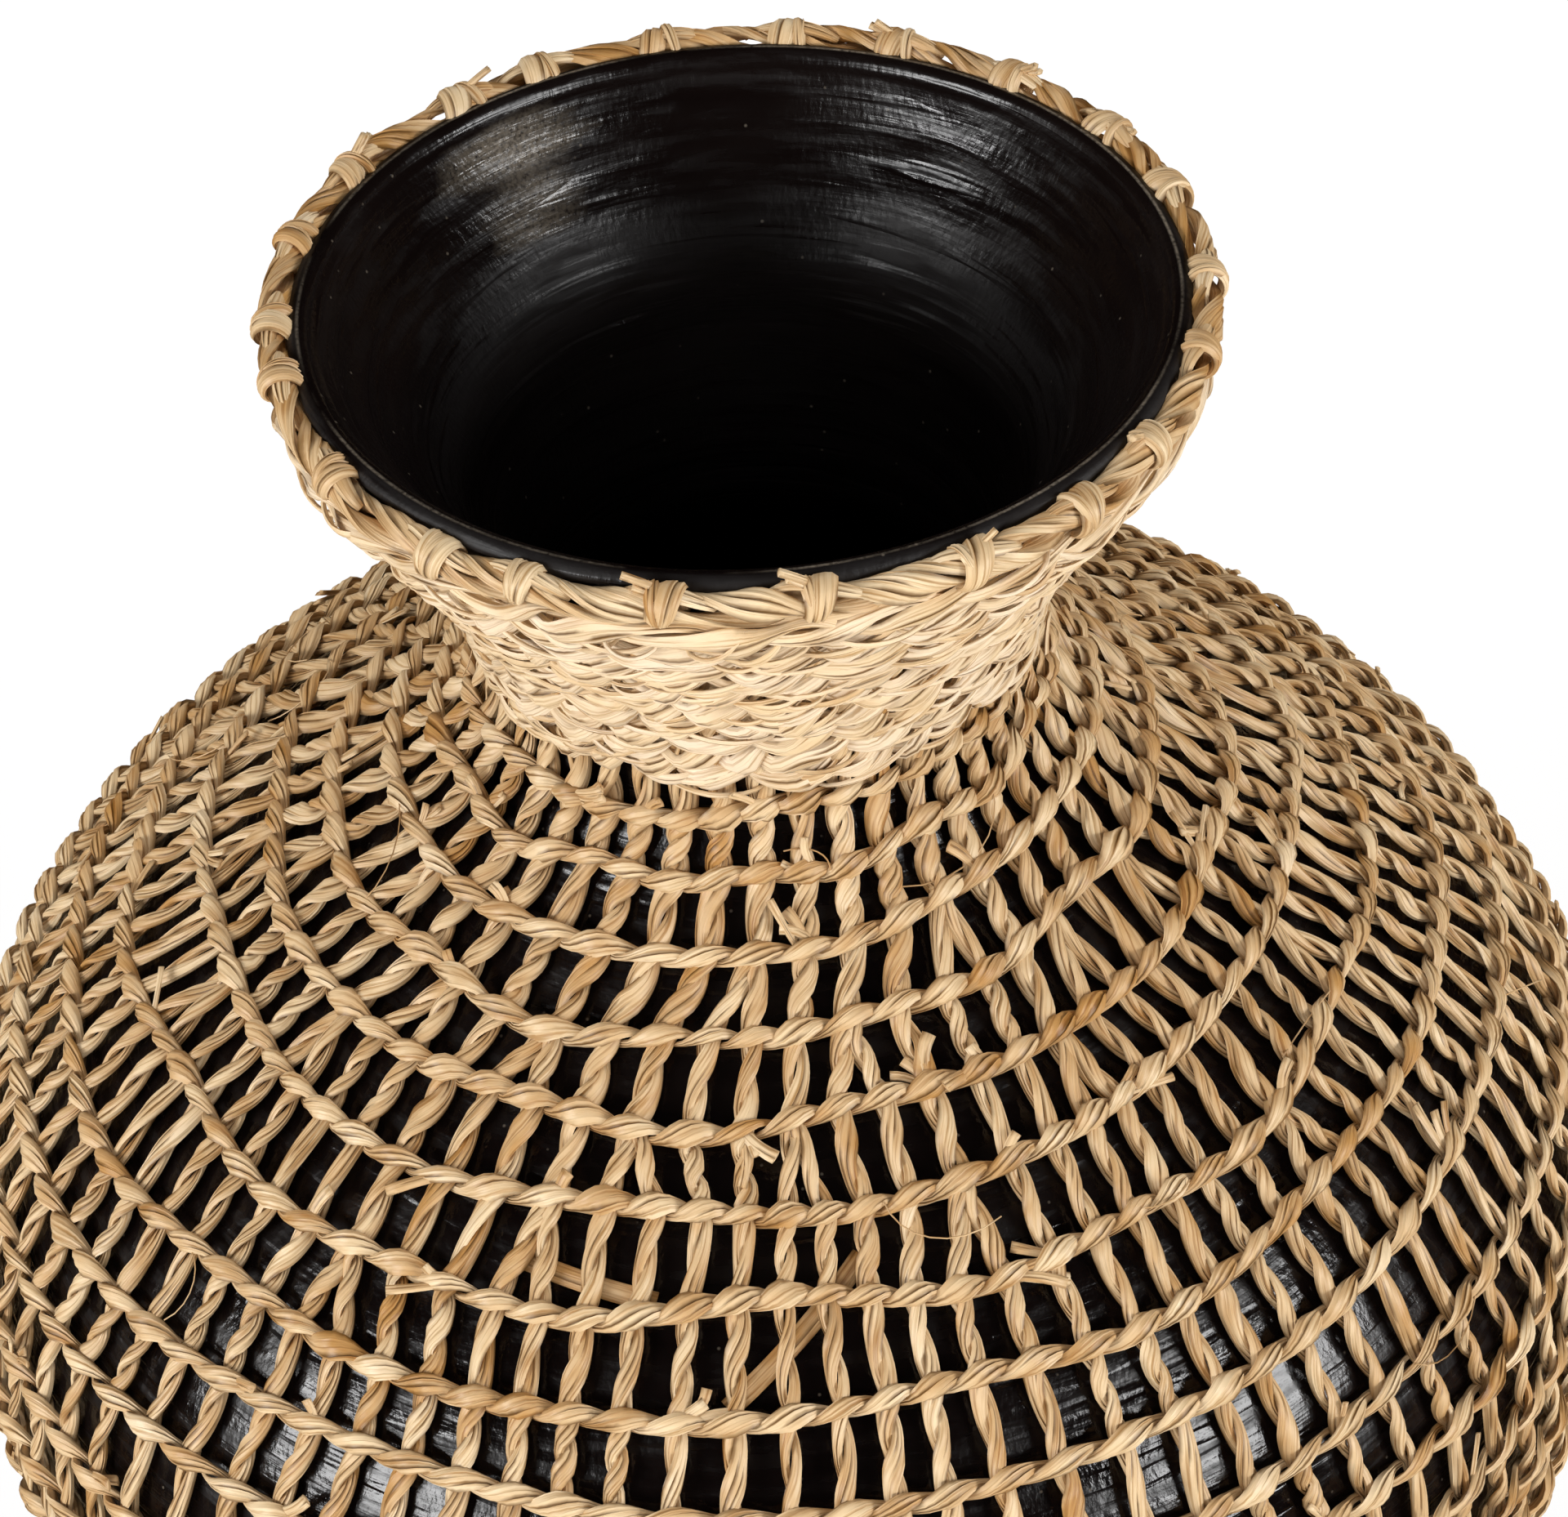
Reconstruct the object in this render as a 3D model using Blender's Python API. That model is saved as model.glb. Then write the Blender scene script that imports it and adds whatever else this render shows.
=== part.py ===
"""Black clay pot wearing a jacket of seagrass cords.

The pot is thrown and burnished. A rope runs round the outside of its lip. Strands of seagrass are folded
over that rope and hang down the wall as upright stakes, in pairs. Packed rows of cord hold the stakes
against the neck, and spaced rings of cord hold them over the body as an open net.

Lengths are in metres, with +Z up. The origin is the middle of the foot, on the ground.
"""

import math

import bmesh
import bpy
from mathutils import Euler, Vector

MM = 0.001

# The clay pot. Depths run down from the crest of the lip.
POT_HEIGHT = 335 * MM
MOUTH_RADIUS = 70 * MM
LIP_THICKNESS = 4 * MM
WALL_THICKNESS = 6 * MM
FLOOR_THICKNESS = 9 * MM
WAIST_RADIUS = 43 * MM
WAIST_DEPTH = 65 * MM
BELLY_RADIUS = 146.5 * MM
BELLY_DEPTH = 194 * MM
FOOT_RADIUS = 78 * MM

# How far each stretch of the wall keeps the direction that it starts or ends with.
LIP_FLARE_ANGLE = math.radians(25)
LIP_FLARE_REACH = 25 * MM
NECK_REACH = 22 * MM
SHOULDER_TOP_REACH = 39 * MM
SHOULDER_SIDE_REACH = 75 * MM
BELLY_REACH = 70 * MM
FOOT_FLARE_ANGLE = math.radians(38)
FOOT_REACH = 61 * MM

# The seagrass cords, all flattened a little where they lie on one another.
CORD_GAP = 0.3 * MM
STAKE_THICKNESS = 2.2 * MM
STAKE_WIDTH = 4.2 * MM
RING_THICKNESS = 3.2 * MM
RING_WIDTH = 4.6 * MM
ROPE_RADIUS = 2.6 * MM
ROPE_DEPTH = 6 * MM
KNOT_DROP = 4.5 * MM
KNOT_HEIGHT = 4 * MM

# Where the rows and rings lie, measured along the wall.
COLLAR_TOP_GAP = 1 * MM
COLLAR_END_ABOVE_WAIST = 3 * MM
FIRST_RING_BELOW_WAIST = 5 * MM
LAST_RING_ABOVE_FOOT = 13 * MM
STAKE_END_ABOVE_FOOT = 7 * MM

# Steps between the rings compared with one another: they widen down the neck, then stay even.
NECK_RING_STEP = 11.5
RING_STEP_GROWTH = 1.0
BODY_RING_STEP = 15.3

# Counts, and how finely the pieces are faceted.
STAKE_PAIRS = 22
COLLAR_ROWS = 12
NET_RINGS = 22
POT_SIDES = 2 * STAKE_PAIRS
FLARE_STEPS = 3
SHOULDER_STEPS = 5
LOWER_STEPS = 5
LIP_STEPS = 4
ROPE_SECTION_SIDES = 6
SMALL_RING_SIDES = 22
LARGE_RING_SIDES = 33
LARGE_RING_RADIUS = 85 * MM
SHARP_ANGLE = math.radians(50)
MERGE_DISTANCE = 0.003 * MM

# The wall corners at which stakes part in two and come together again, for even and odd stakes.
FORK_CORNERS = (FLARE_STEPS + 2, FLARE_STEPS + 3)
REJOIN_CORNERS = (FLARE_STEPS + SHOULDER_STEPS + 3, FLARE_STEPS + SHOULDER_STEPS + 2)

# Colour and roughness of the clay and of the seagrass in each kind of cord.
BURNISHED_CLAY = ((0.006, 0.005, 0.005, 1.0), 0.28)
ROPE_SEAGRASS = ((0.50, 0.35, 0.19, 1.0), 0.70)
COLLAR_SEAGRASS = ((0.62, 0.46, 0.27, 1.0), 0.72)
RING_SEAGRASS = ((0.55, 0.39, 0.22, 1.0), 0.70)
STAKE_SEAGRASS = ((0.52, 0.36, 0.20, 1.0), 0.70)


def clear_scene():
    for thing in list(bpy.data.objects):
        bpy.data.objects.remove(thing, do_unlink=True)


def make_material(name, finish):
    colour, roughness = finish
    material = bpy.data.materials.new(name)
    material.use_nodes = True
    shader = material.node_tree.nodes["Principled BSDF"]
    shader.inputs["Base Color"].default_value = colour
    shader.inputs["Roughness"].default_value = roughness
    shader.inputs["Metallic"].default_value = 0.0
    return material


def make_object(name, shape, material):
    bmesh.ops.recalc_face_normals(shape, faces=shape.faces)
    mesh = bpy.data.meshes.new(name)
    shape.to_mesh(mesh)
    shape.free()
    mesh.shade_smooth()
    mesh.set_sharp_from_angle(angle=SHARP_ANGLE)
    mesh.materials.append(material)
    piece = bpy.data.objects.new(name, mesh)
    bpy.context.collection.objects.link(piece)
    return piece


def curve_points(start, start_handle, end_handle, end, steps):
    """Points along a cubic curve in the radius and height plane, both ends included."""
    points = []
    for step in range(steps + 1):
        t = step / steps
        s = 1 - t
        points.append(s**3 * start + 3 * s * s * t * start_handle + 3 * s * t * t * end_handle + t**3 * end)
    return points


def wall_profile():
    """The outside of the clay from the lip's outer edge down to the foot, as corners of a polyline."""
    lip = Vector((MOUTH_RADIUS + LIP_THICKNESS / 2, POT_HEIGHT - LIP_THICKNESS / 2))
    waist = Vector((WAIST_RADIUS, POT_HEIGHT - WAIST_DEPTH))
    belly = Vector((BELLY_RADIUS, POT_HEIGHT - BELLY_DEPTH))
    foot = Vector((FOOT_RADIUS, 0))
    flare = Vector((math.sin(LIP_FLARE_ANGLE), math.cos(LIP_FLARE_ANGLE))) * LIP_FLARE_REACH
    spread = Vector((math.sin(FOOT_FLARE_ANGLE), math.cos(FOOT_FLARE_ANGLE))) * FOOT_REACH
    up = Vector((0, 1))
    neck_wall = curve_points(lip, lip - flare, waist + up * NECK_REACH, waist, FLARE_STEPS)
    shoulder = curve_points(
        waist, waist - up * SHOULDER_TOP_REACH, belly + up * SHOULDER_SIDE_REACH, belly, SHOULDER_STEPS
    )
    lower_wall = curve_points(belly, belly - up * BELLY_REACH, foot + spread, foot, LOWER_STEPS)
    return neck_wall + shoulder[1:] + lower_wall[1:]


def side_normal(a, b):
    """The outward normal of the wall from one corner down to the next."""
    along = (b - a).normalized()
    return Vector((-along.y, along.x))


def mitred_normals(corners):
    """One vector a corner, such that moving each by d times its vector moves every side by d."""
    normals = []
    last = len(corners) - 1
    for index, corner in enumerate(corners):
        before = side_normal(corners[max(index - 1, 0)], corners[max(index, 1)])
        after = side_normal(corners[min(index, last - 1)], corners[min(index + 1, last)])
        middle = (before + after).normalized()
        normals.append(middle / middle.dot(before))
    return normals


def offset_profile(corners, distance):
    return [corner + normal * distance for corner, normal in zip(corners, mitred_normals(corners))]


def profile_length(corners):
    return sum((b - a).length for a, b in zip(corners, corners[1:]))


def places_along(corners, start, end):
    """Places on a polyline between two distances along it: both ends and the corners between them.

    A place is the side that it is on and the share of that side, so it fits any offset of the polyline.
    """
    places = []
    passed = 0
    for side, (a, b) in enumerate(zip(corners, corners[1:])):
        length = (b - a).length
        if passed < start <= passed + length:
            places.append((side, (start - passed) / length))
        if start < passed < end:
            places.append((side, 0))
        if passed < end <= passed + length:
            places.append((side, (end - passed) / length))
        passed += length
    return places


def point_at(corners, place):
    side, share = place
    return corners[side].lerp(corners[side + 1], share)


def on_level(a, b, height):
    """The point at a height on the line through two points."""
    return a + (b - a) * ((height - a.y) / (b.y - a.y))


def turned(section, sides, closed):
    """A shape turned about the Z axis from points in the radius and height plane."""
    shape = bmesh.new()
    points = [shape.verts.new((point.x, 0, point.y)) for point in section]
    edges = [shape.edges.new(pair) for pair in zip(points, points[1:])]
    if closed:
        edges.append(shape.edges.new((points[-1], points[0])))
    bmesh.ops.spin(
        shape, geom=points + edges, axis=(0, 0, 1), cent=(0, 0, 0),
        angle=math.tau, steps=sides, use_merge=True
    )
    bmesh.ops.remove_doubles(shape, verts=shape.verts, dist=MERGE_DISTANCE)
    return shape


def build_pot(wall, material):
    """The pot: floor, inner wall, rounded lip, outer wall and flat foot, turned as one shell."""
    inner = offset_profile(wall, -WALL_THICKNESS)
    inner[-1] = on_level(inner[-2], inner[-1], FLOOR_THICKNESS)
    inner[0] = wall[0] - Vector((LIP_THICKNESS, 0))
    lip_middle = wall[0] - Vector((LIP_THICKNESS / 2, 0))
    lip = []
    for step in range(1, LIP_STEPS):
        turn = math.pi * (1 - step / LIP_STEPS)
        lip.append(lip_middle + Vector((math.cos(turn), math.sin(turn))) * LIP_THICKNESS / 2)
    section = [Vector((0, FLOOR_THICKNESS))] + inner[::-1] + lip + wall + [Vector((0, 0))]
    return make_object("clay_pot", turned(section, POT_SIDES, closed=False), material)


def rope_centre(wall):
    """Where the rim rope lies: outside the stakes that pass behind it, on the wall's first side."""
    behind = on_level(wall[0], wall[1], POT_HEIGHT - ROPE_DEPTH)
    return behind + side_normal(wall[0], wall[1]) * (2 * CORD_GAP + STAKE_THICKNESS + ROPE_RADIUS)


def build_rope(wall, material):
    centre = rope_centre(wall)
    section = []
    for side in range(ROPE_SECTION_SIDES):
        turn = math.tau * (side + 0.5) / ROPE_SECTION_SIDES
        section.append(centre + Vector((math.cos(turn), math.sin(turn))) * ROPE_RADIUS)
    return make_object("rim_rope", turned(section, POT_SIDES, closed=True), material)


def build_ring(name, wall, distance, width, material):
    """A cord that runs round the pot on top of the stakes, at a distance along the wall."""
    near = CORD_GAP + STAKE_THICKNESS + CORD_GAP
    inner_face = offset_profile(wall, near)
    outer_face = offset_profile(wall, near + RING_THICKNESS)
    places = places_along(wall, distance - width / 2, distance + width / 2)
    section = [point_at(inner_face, place) for place in places]
    section += [point_at(outer_face, place) for place in reversed(places)]
    sides = LARGE_RING_SIDES if section[0].x > LARGE_RING_RADIUS else SMALL_RING_SIDES
    # Straight sides dip inside the circle through their ends, so that circle is made wider.
    section = [Vector((corner.x / math.cos(math.pi / sides), corner.y)) for corner in section]
    return make_object(name, turned(section, sides, closed=True), material)


def collar_places(wall):
    """The middles of the packed rows between the rim rope and the waist, and the width of one row."""
    rope_on_wall = (on_level(wall[0], wall[1], POT_HEIGHT - ROPE_DEPTH) - wall[0]).length
    top = rope_on_wall + ROPE_RADIUS + COLLAR_TOP_GAP
    end = profile_length(wall[: FLARE_STEPS + 1]) - COLLAR_END_ABOVE_WAIST
    step = (end - top) / COLLAR_ROWS
    return [top + step * (row + 0.5) for row in range(COLLAR_ROWS)], step - 2 * CORD_GAP


def ring_places(wall):
    """The middles of the net's rings, closer together near the neck and evenly spaced on the body."""
    first = profile_length(wall[: FLARE_STEPS + 1]) + FIRST_RING_BELOW_WAIST
    last = profile_length(wall) - LAST_RING_ABOVE_FOOT
    shares = [0]
    for index in range(NET_RINGS - 1):
        shares.append(shares[-1] + min(NECK_RING_STEP + RING_STEP_GROWTH * index, BODY_RING_STEP))
    return [first + (last - first) * share / shares[-1] for share in shares]


def stake_path(wall):
    """The middle line of a stake, from the knot outside the rim rope down to the foot."""
    line = offset_profile(wall, CORD_GAP + STAKE_THICKNESS / 2)
    up = (line[0] - line[1]).normalized()
    out = side_normal(wall[0], wall[1])
    reach = ROPE_RADIUS + CORD_GAP + STAKE_THICKNESS / 2
    centre = rope_centre(wall)
    over_outside = centre + (up + out) * reach
    over_inside = centre + (up - out) * reach
    knot_end = over_outside - up * (reach + KNOT_DROP)
    knot_top = knot_end + up * KNOT_HEIGHT
    foot_share = 1 - STAKE_END_ABOVE_FOOT / (line[-1] - line[-2]).length
    end = line[-2] + (line[-1] - line[-2]) * foot_share
    return [knot_end, knot_top, over_outside, over_inside] + line[1:-1] + [end]


def across_corners(shape, middle, normal, angle, acrosses):
    """Corners across a strand at an angle round the pot: left to right inside, then right to left outside."""
    corners = []
    for depth, places in ((-0.5, acrosses), (0.5, acrosses[::-1])):
        point = middle + normal * depth * STAKE_THICKNESS
        for across in places:
            place = Vector((point.x, across, point.y))
            place.rotate(Euler((0, 0, angle)))
            corners.append(shape.verts.new(place))
    return corners


def bridge(shape, upper, lower):
    for index in range(len(upper)):
        after = (index + 1) % len(upper)
        shape.faces.new((upper[index], upper[after], lower[after], lower[index]))


def part_in_two(shape, single, double):
    """Faces between one strand, of four corners, and the two side by side that it parts into, of six."""
    shape.faces.new((single[0], single[1], double[2], double[1], double[0]))
    shape.faces.new((single[1], single[2], double[3], double[2]))
    shape.faces.new((single[2], single[3], double[5], double[4], double[3]))
    shape.faces.new((single[3], single[0], double[0], double[5]))


def halves(double):
    """The left and the right strand of two side by side."""
    inner_left, inner_middle, inner_right, outer_right, outer_middle, outer_left = double
    left = [inner_left, inner_middle, outer_middle, outer_left]
    right = [inner_middle, inner_right, outer_right, outer_middle]
    return left, right


def run_strand(shape, upper, path, normals, rows, angle):
    """Carry a strand on through some rows of its path, and return its last four corners."""
    half = STAKE_WIDTH / 2
    for row in rows:
        lower = across_corners(shape, path[row], normals[row], angle, (-half, half))
        bridge(shape, upper, lower)
        upper = lower
    return upper


def build_stake_pair(pair, wall, material):
    """A strand folded over the rim rope: one knot, and two stakes that part and rejoin on the body."""
    shape = bmesh.new()
    path = stake_path(wall)
    normals = mitred_normals(path)
    rows_over_rope = len(path) - len(wall)
    stake_turn = math.tau / (2 * STAKE_PAIRS)
    leg_turn = stake_turn / 4
    pair_angle = math.tau * pair / STAKE_PAIRS

    half = STAKE_WIDTH / 2
    knot_half = path[0].x * math.tan(stake_turn / 2) + half
    knot_places = (-knot_half, 0, knot_half)
    knot_end = across_corners(shape, path[0], normals[0], pair_angle, knot_places)
    knot_top = across_corners(shape, path[1], normals[1], pair_angle, knot_places)
    shape.faces.new(knot_end)
    bridge(shape, knot_end, knot_top)

    both = (-STAKE_WIDTH, 0, STAKE_WIDTH)
    for stake, knot_strand in enumerate(halves(knot_top)):
        angle = pair_angle + stake_turn * (stake - 0.5)
        fork = FORK_CORNERS[stake] + rows_over_rope
        rejoin = REJOIN_CORNERS[stake] + rows_over_rope
        stem = run_strand(shape, knot_strand, path, normals, range(2, fork), angle)
        parted = across_corners(shape, path[fork], normals[fork], angle, both)
        joined = across_corners(shape, path[rejoin], normals[rejoin], angle, both)
        part_in_two(shape, stem, parted)
        for side, leg, leg_end in zip((-1, 1), halves(parted), halves(joined)):
            leg = run_strand(shape, leg, path, normals, range(fork + 1, rejoin), angle + side * leg_turn)
            bridge(shape, leg, leg_end)
        after = rejoin + 1
        stem = across_corners(shape, path[after], normals[after], angle, (-half, half))
        part_in_two(shape, stem, joined)
        stem = run_strand(shape, stem, path, normals, range(after + 1, len(path)), angle)
        shape.faces.new(stem)
    return make_object(f"stake_pair_{pair + 1:02d}", shape, material)


def main():
    clear_scene()
    wall = wall_profile()
    build_pot(wall, make_material("burnished_black_clay", BURNISHED_CLAY))
    build_rope(wall, make_material("rope_seagrass", ROPE_SEAGRASS))

    collar_seagrass = make_material("collar_seagrass", COLLAR_SEAGRASS)
    places, row_width = collar_places(wall)
    for row, place in enumerate(places):
        build_ring(f"collar_row_{row + 1:02d}", wall, place, row_width, collar_seagrass)

    ring_seagrass = make_material("ring_seagrass", RING_SEAGRASS)
    for ring, place in enumerate(ring_places(wall)):
        build_ring(f"net_ring_{ring + 1:02d}", wall, place, RING_WIDTH, ring_seagrass)

    stake_seagrass = make_material("stake_seagrass", STAKE_SEAGRASS)
    for pair in range(STAKE_PAIRS):
        build_stake_pair(pair, wall, stake_seagrass)


main()
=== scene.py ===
# %% [markdown]
# # A black clay pot in a seagrass jacket
# The object is a turned pot of burnished black clay. A jacket of twisted seagrass is tied round it: a
# rope at the lip, a packed collar on the neck, and a net of stakes and rings on the body. The packed
# solids are the fixed frame. This script dresses them, cord by cord, and it never moves them.

# %% Load the frame
import math

import bpy
import numpy as np
from mathutils import Matrix, Vector


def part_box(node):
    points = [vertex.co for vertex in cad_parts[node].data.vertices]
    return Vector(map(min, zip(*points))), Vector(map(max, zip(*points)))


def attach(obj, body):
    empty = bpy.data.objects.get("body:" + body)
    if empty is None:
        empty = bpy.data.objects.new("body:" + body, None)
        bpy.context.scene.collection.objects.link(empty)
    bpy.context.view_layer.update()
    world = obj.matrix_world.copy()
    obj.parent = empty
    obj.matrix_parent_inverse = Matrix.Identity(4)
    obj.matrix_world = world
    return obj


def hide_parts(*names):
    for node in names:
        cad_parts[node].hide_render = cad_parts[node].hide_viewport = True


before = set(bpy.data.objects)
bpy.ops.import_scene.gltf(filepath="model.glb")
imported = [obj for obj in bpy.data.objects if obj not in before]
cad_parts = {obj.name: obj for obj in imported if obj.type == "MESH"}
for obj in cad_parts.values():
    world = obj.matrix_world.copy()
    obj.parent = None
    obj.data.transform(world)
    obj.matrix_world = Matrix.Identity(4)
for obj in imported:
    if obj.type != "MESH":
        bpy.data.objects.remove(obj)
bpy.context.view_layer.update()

MM = 0.001
print("solids in the frame:", len(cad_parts))

# %% [markdown]
# ## The line of the wall
# Every cord follows the clay, so the outside of the pot comes first, as a line from the lip's edge down
# to the foot. The line could be traced with many points. Three Bezier curves are enough: the flare, the
# shoulder and the lower body, with the same sizes as the solids. A place on the pot is then a distance
# along the line, an angle round the pot from the front, and a lift off the clay.

# %% The pot's sizes in millimetres and its wall line
POT_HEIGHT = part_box("clay_pot")[1].z / MM
BELLY_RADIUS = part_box("clay_pot")[1].x / MM
MOUTH_RADIUS = 70.0
LIP_THICKNESS = 4.0
WALL_THICKNESS = 6.0
FLOOR_THICKNESS = 9.0
WAIST_RADIUS = 43.0
WAIST_DEPTH = 65.0
BELLY_DEPTH = 194.0
FOOT_RADIUS = 78.0
LIP_FLARE_ANGLE = math.radians(25)
LIP_FLARE_REACH = 25.0
NECK_REACH = 22.0
SHOULDER_TOP_REACH = 39.0
SHOULDER_SIDE_REACH = 75.0
BELLY_REACH = 70.0
FOOT_FLARE_ANGLE = math.radians(38)
FOOT_REACH = 61.0
CURVE_STEPS = 60


def bezier(start, start_handle, end_handle, end):
    """Points of a Bezier curve, without its last one."""
    share = np.linspace(0, 1, CURVE_STEPS, endpoint=False)[:, None]
    rest = 1 - share
    ends = rest**3 * np.array(start) + share**3 * np.array(end)
    return ends + 3 * rest**2 * share * np.array(start_handle) + 3 * rest * share**2 * np.array(end_handle)


def wall_line():
    """Radius and height of the outside of the clay, from the lip's edge to the foot."""
    lip = (MOUTH_RADIUS + LIP_THICKNESS / 2, POT_HEIGHT - LIP_THICKNESS / 2)
    lip_handle = (
        lip[0] - LIP_FLARE_REACH * math.sin(LIP_FLARE_ANGLE),
        lip[1] - LIP_FLARE_REACH * math.cos(LIP_FLARE_ANGLE),
    )
    waist = (WAIST_RADIUS, POT_HEIGHT - WAIST_DEPTH)
    belly = (BELLY_RADIUS, POT_HEIGHT - BELLY_DEPTH)
    foot = (FOOT_RADIUS, 0.0)
    foot_handle = (
        FOOT_RADIUS + FOOT_REACH * math.sin(FOOT_FLARE_ANGLE),
        FOOT_REACH * math.cos(FOOT_FLARE_ANGLE),
    )
    flare = bezier(lip, lip_handle, (waist[0], waist[1] + NECK_REACH), waist)
    shoulder = bezier(
        waist, (waist[0], waist[1] - SHOULDER_TOP_REACH), (belly[0], belly[1] + SHOULDER_SIDE_REACH), belly
    )
    lower = bezier(belly, (belly[0], belly[1] - BELLY_REACH), foot_handle, foot)
    return np.vstack([flare, shoulder, lower, [foot]])


WALL = wall_line()
WALL_DOWN = np.gradient(WALL, axis=0)
WALL_DOWN /= np.linalg.norm(WALL_DOWN, axis=1)[:, None]
WALL_OUT = np.stack([-WALL_DOWN[:, 1], WALL_DOWN[:, 0]], axis=1)
WALL_AT = np.concatenate([[0], np.cumsum(np.linalg.norm(np.diff(WALL, axis=0), axis=1))])
WALL_LENGTH = WALL_AT[-1]
WAIST_AT = WALL_AT[CURVE_STEPS]
print("wall line:", round(WALL_LENGTH), "mm, waist at", round(WAIST_AT, 1))


# %% Places and directions on the wall
def read_line(line, along):
    return np.interp(along, WALL_AT, line[:, 0]), np.interp(along, WALL_AT, line[:, 1])


def turned_to(radial, upright, around):
    """A radius and a height turned to an angle from the front, which is the -Y side."""
    parts = np.broadcast_arrays(radial * np.sin(around), -radial * np.cos(around), upright)
    return np.stack(parts, axis=-1)


def on_wall(along, around, lift):
    """Points in metres, lifted off the clay along its own outward direction."""
    radius, height = read_line(WALL, along)
    out, up = read_line(WALL_OUT, along)
    return turned_to(radius + lift * out, height + lift * up, around) * MM


def wall_out(along, around):
    return turned_to(*read_line(WALL_OUT, along), around)


def wall_down(along, around):
    return turned_to(*read_line(WALL_DOWN, along), around)


def rightward(around):
    """The level direction that turns to the right round the pot, seen from outside."""
    return turned_to(1.0, 0.0, np.asarray(around) + math.pi / 2)


def wall_radius(along):
    return read_line(WALL, along)[0]


print("front of the belly:", on_wall(WALL_AT[2 * CURVE_STEPS], 0.0, 0.0).round(3))

# %% [markdown]
# ## The camera
# The photograph looks down into the mouth from close by, with a slight tilt. A camera could be aimed by
# eye. Here its place, pitch, yaw and roll were fitted to the mouth, the net's rings and the outline, so
# the picture can be laid over the photograph.

# %% Camera
CAMERA_PLACE = Vector((0, -629.7, 793.0)) * MM
CAMERA_PITCH = math.radians(41.49)
CAMERA_YAW = math.radians(0.31)
CAMERA_ROLL = math.radians(-2.91)
CAMERA_LENS = 112.5

ahead = Vector(
    (
        math.sin(CAMERA_YAW) * math.cos(CAMERA_PITCH),
        math.cos(CAMERA_YAW) * math.cos(CAMERA_PITCH),
        -math.sin(CAMERA_PITCH),
    )
)
right = Vector((math.cos(CAMERA_YAW), -math.sin(CAMERA_YAW), 0))
upward = right.cross(ahead)
rolled_right = right * math.cos(CAMERA_ROLL) + upward * math.sin(CAMERA_ROLL)
rolled_up = upward * math.cos(CAMERA_ROLL) - right * math.sin(CAMERA_ROLL)
camera_turn = Matrix((rolled_right, rolled_up, -ahead)).transposed()
camera_data = bpy.data.cameras.new("camera")
camera_data.lens = CAMERA_LENS
camera = bpy.data.objects.new("camera", camera_data)
camera.matrix_world = Matrix.Translation(CAMERA_PLACE) @ camera_turn.to_4x4()
bpy.context.scene.collection.objects.link(camera)
bpy.context.scene.camera = camera
print("camera lens:", CAMERA_LENS)


# %% [markdown]
# ## Small tools for materials
# Each finish below is a handful of shader nodes. One function turns a colour as a screen shows it into
# the linear numbers that the shader wants. Another adds a node, with its settings and its links, in one
# line. A Map Range node takes its value, the range that it reads and the range that it gives, in that
# order, so its inputs are counted off with enumerate.

# %% Colour and node helpers
MIX_SHARE, MIX_FIRST, MIX_SECOND = 0, 6, 7


def linear(colour):
    """A hex colour as linear red, green, blue and alpha."""
    shares = [int(colour[i : i + 2], 16) / 255 for i in (1, 3, 5)]
    return tuple(c / 12.92 if c <= 0.04045 else ((c + 0.055) / 1.055) ** 2.4 for c in shares) + (1.0,)


def add_node(owner, kind, inputs=(), **settings):
    """Adds a node. An input is a number, a colour, another node's socket, or a node for its first one."""
    node = owner.node_tree.nodes.new(kind)
    for name, value in settings.items():
        setattr(node, name, value)
    for name, value in dict(inputs).items():
        if isinstance(value, bpy.types.Node):
            value = next(socket for socket in value.outputs if socket.enabled)
        if isinstance(value, bpy.types.NodeSocket):
            owner.node_tree.links.new(value, node.inputs[name])
        else:
            node.inputs[name].default_value = value
    return node


def new_material(name):
    material = bpy.data.materials.new(name)
    material.use_nodes = True
    material.node_tree.nodes.clear()
    return material


print("mid grey in linear numbers:", [round(c, 3) for c in linear("#808080")])

# %% [markdown]
# ## Floor and light
# The photograph is a studio picture on white, in a room that is dark elsewhere: the glossy clay shows
# one wide highlight at each side and nothing else. So two wide lamps stand at the left and right, at the
# angles that those highlights give. The floor, the dim room and three soft lamps above, in front and
# behind fill the shadows, and the gloss doesn't show them. What the camera sees of the floor is mostly a
# white glow, and the room is plain white.

# %% Floor
FLOOR_SIZE = 12.0
FLOOR_COLOUR = "#F1F0EE"
FLOOR_GLOW = 1.05
FLOOR_GLOW_SHARE = 0.86
WHITE = (1, 1, 1, 1)

bpy.ops.object.select_all(action="DESELECT")
bpy.ops.mesh.primitive_plane_add(size=FLOOR_SIZE)
floor = bpy.context.object
floor.name = "studio_floor"
floor.visible_glossy = False
paper = new_material("pale_studio_paper")
seen = add_node(paper, "ShaderNodeLightPath").outputs["Is Camera Ray"]
share = add_node(paper, "ShaderNodeMath", {0: seen, 1: FLOOR_GLOW_SHARE}, operation="MULTIPLY")
sheet = add_node(paper, "ShaderNodeBsdfDiffuse", {"Color": linear(FLOOR_COLOUR)})
glow = add_node(paper, "ShaderNodeEmission", {"Color": WHITE, "Strength": FLOOR_GLOW})
mixed = add_node(paper, "ShaderNodeMixShader", {0: share, 1: sheet, 2: glow})
add_node(paper, "ShaderNodeOutputMaterial", {"Surface": mixed})
floor.data.materials.append(paper)
print("floor:", FLOOR_SIZE, "m")

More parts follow.
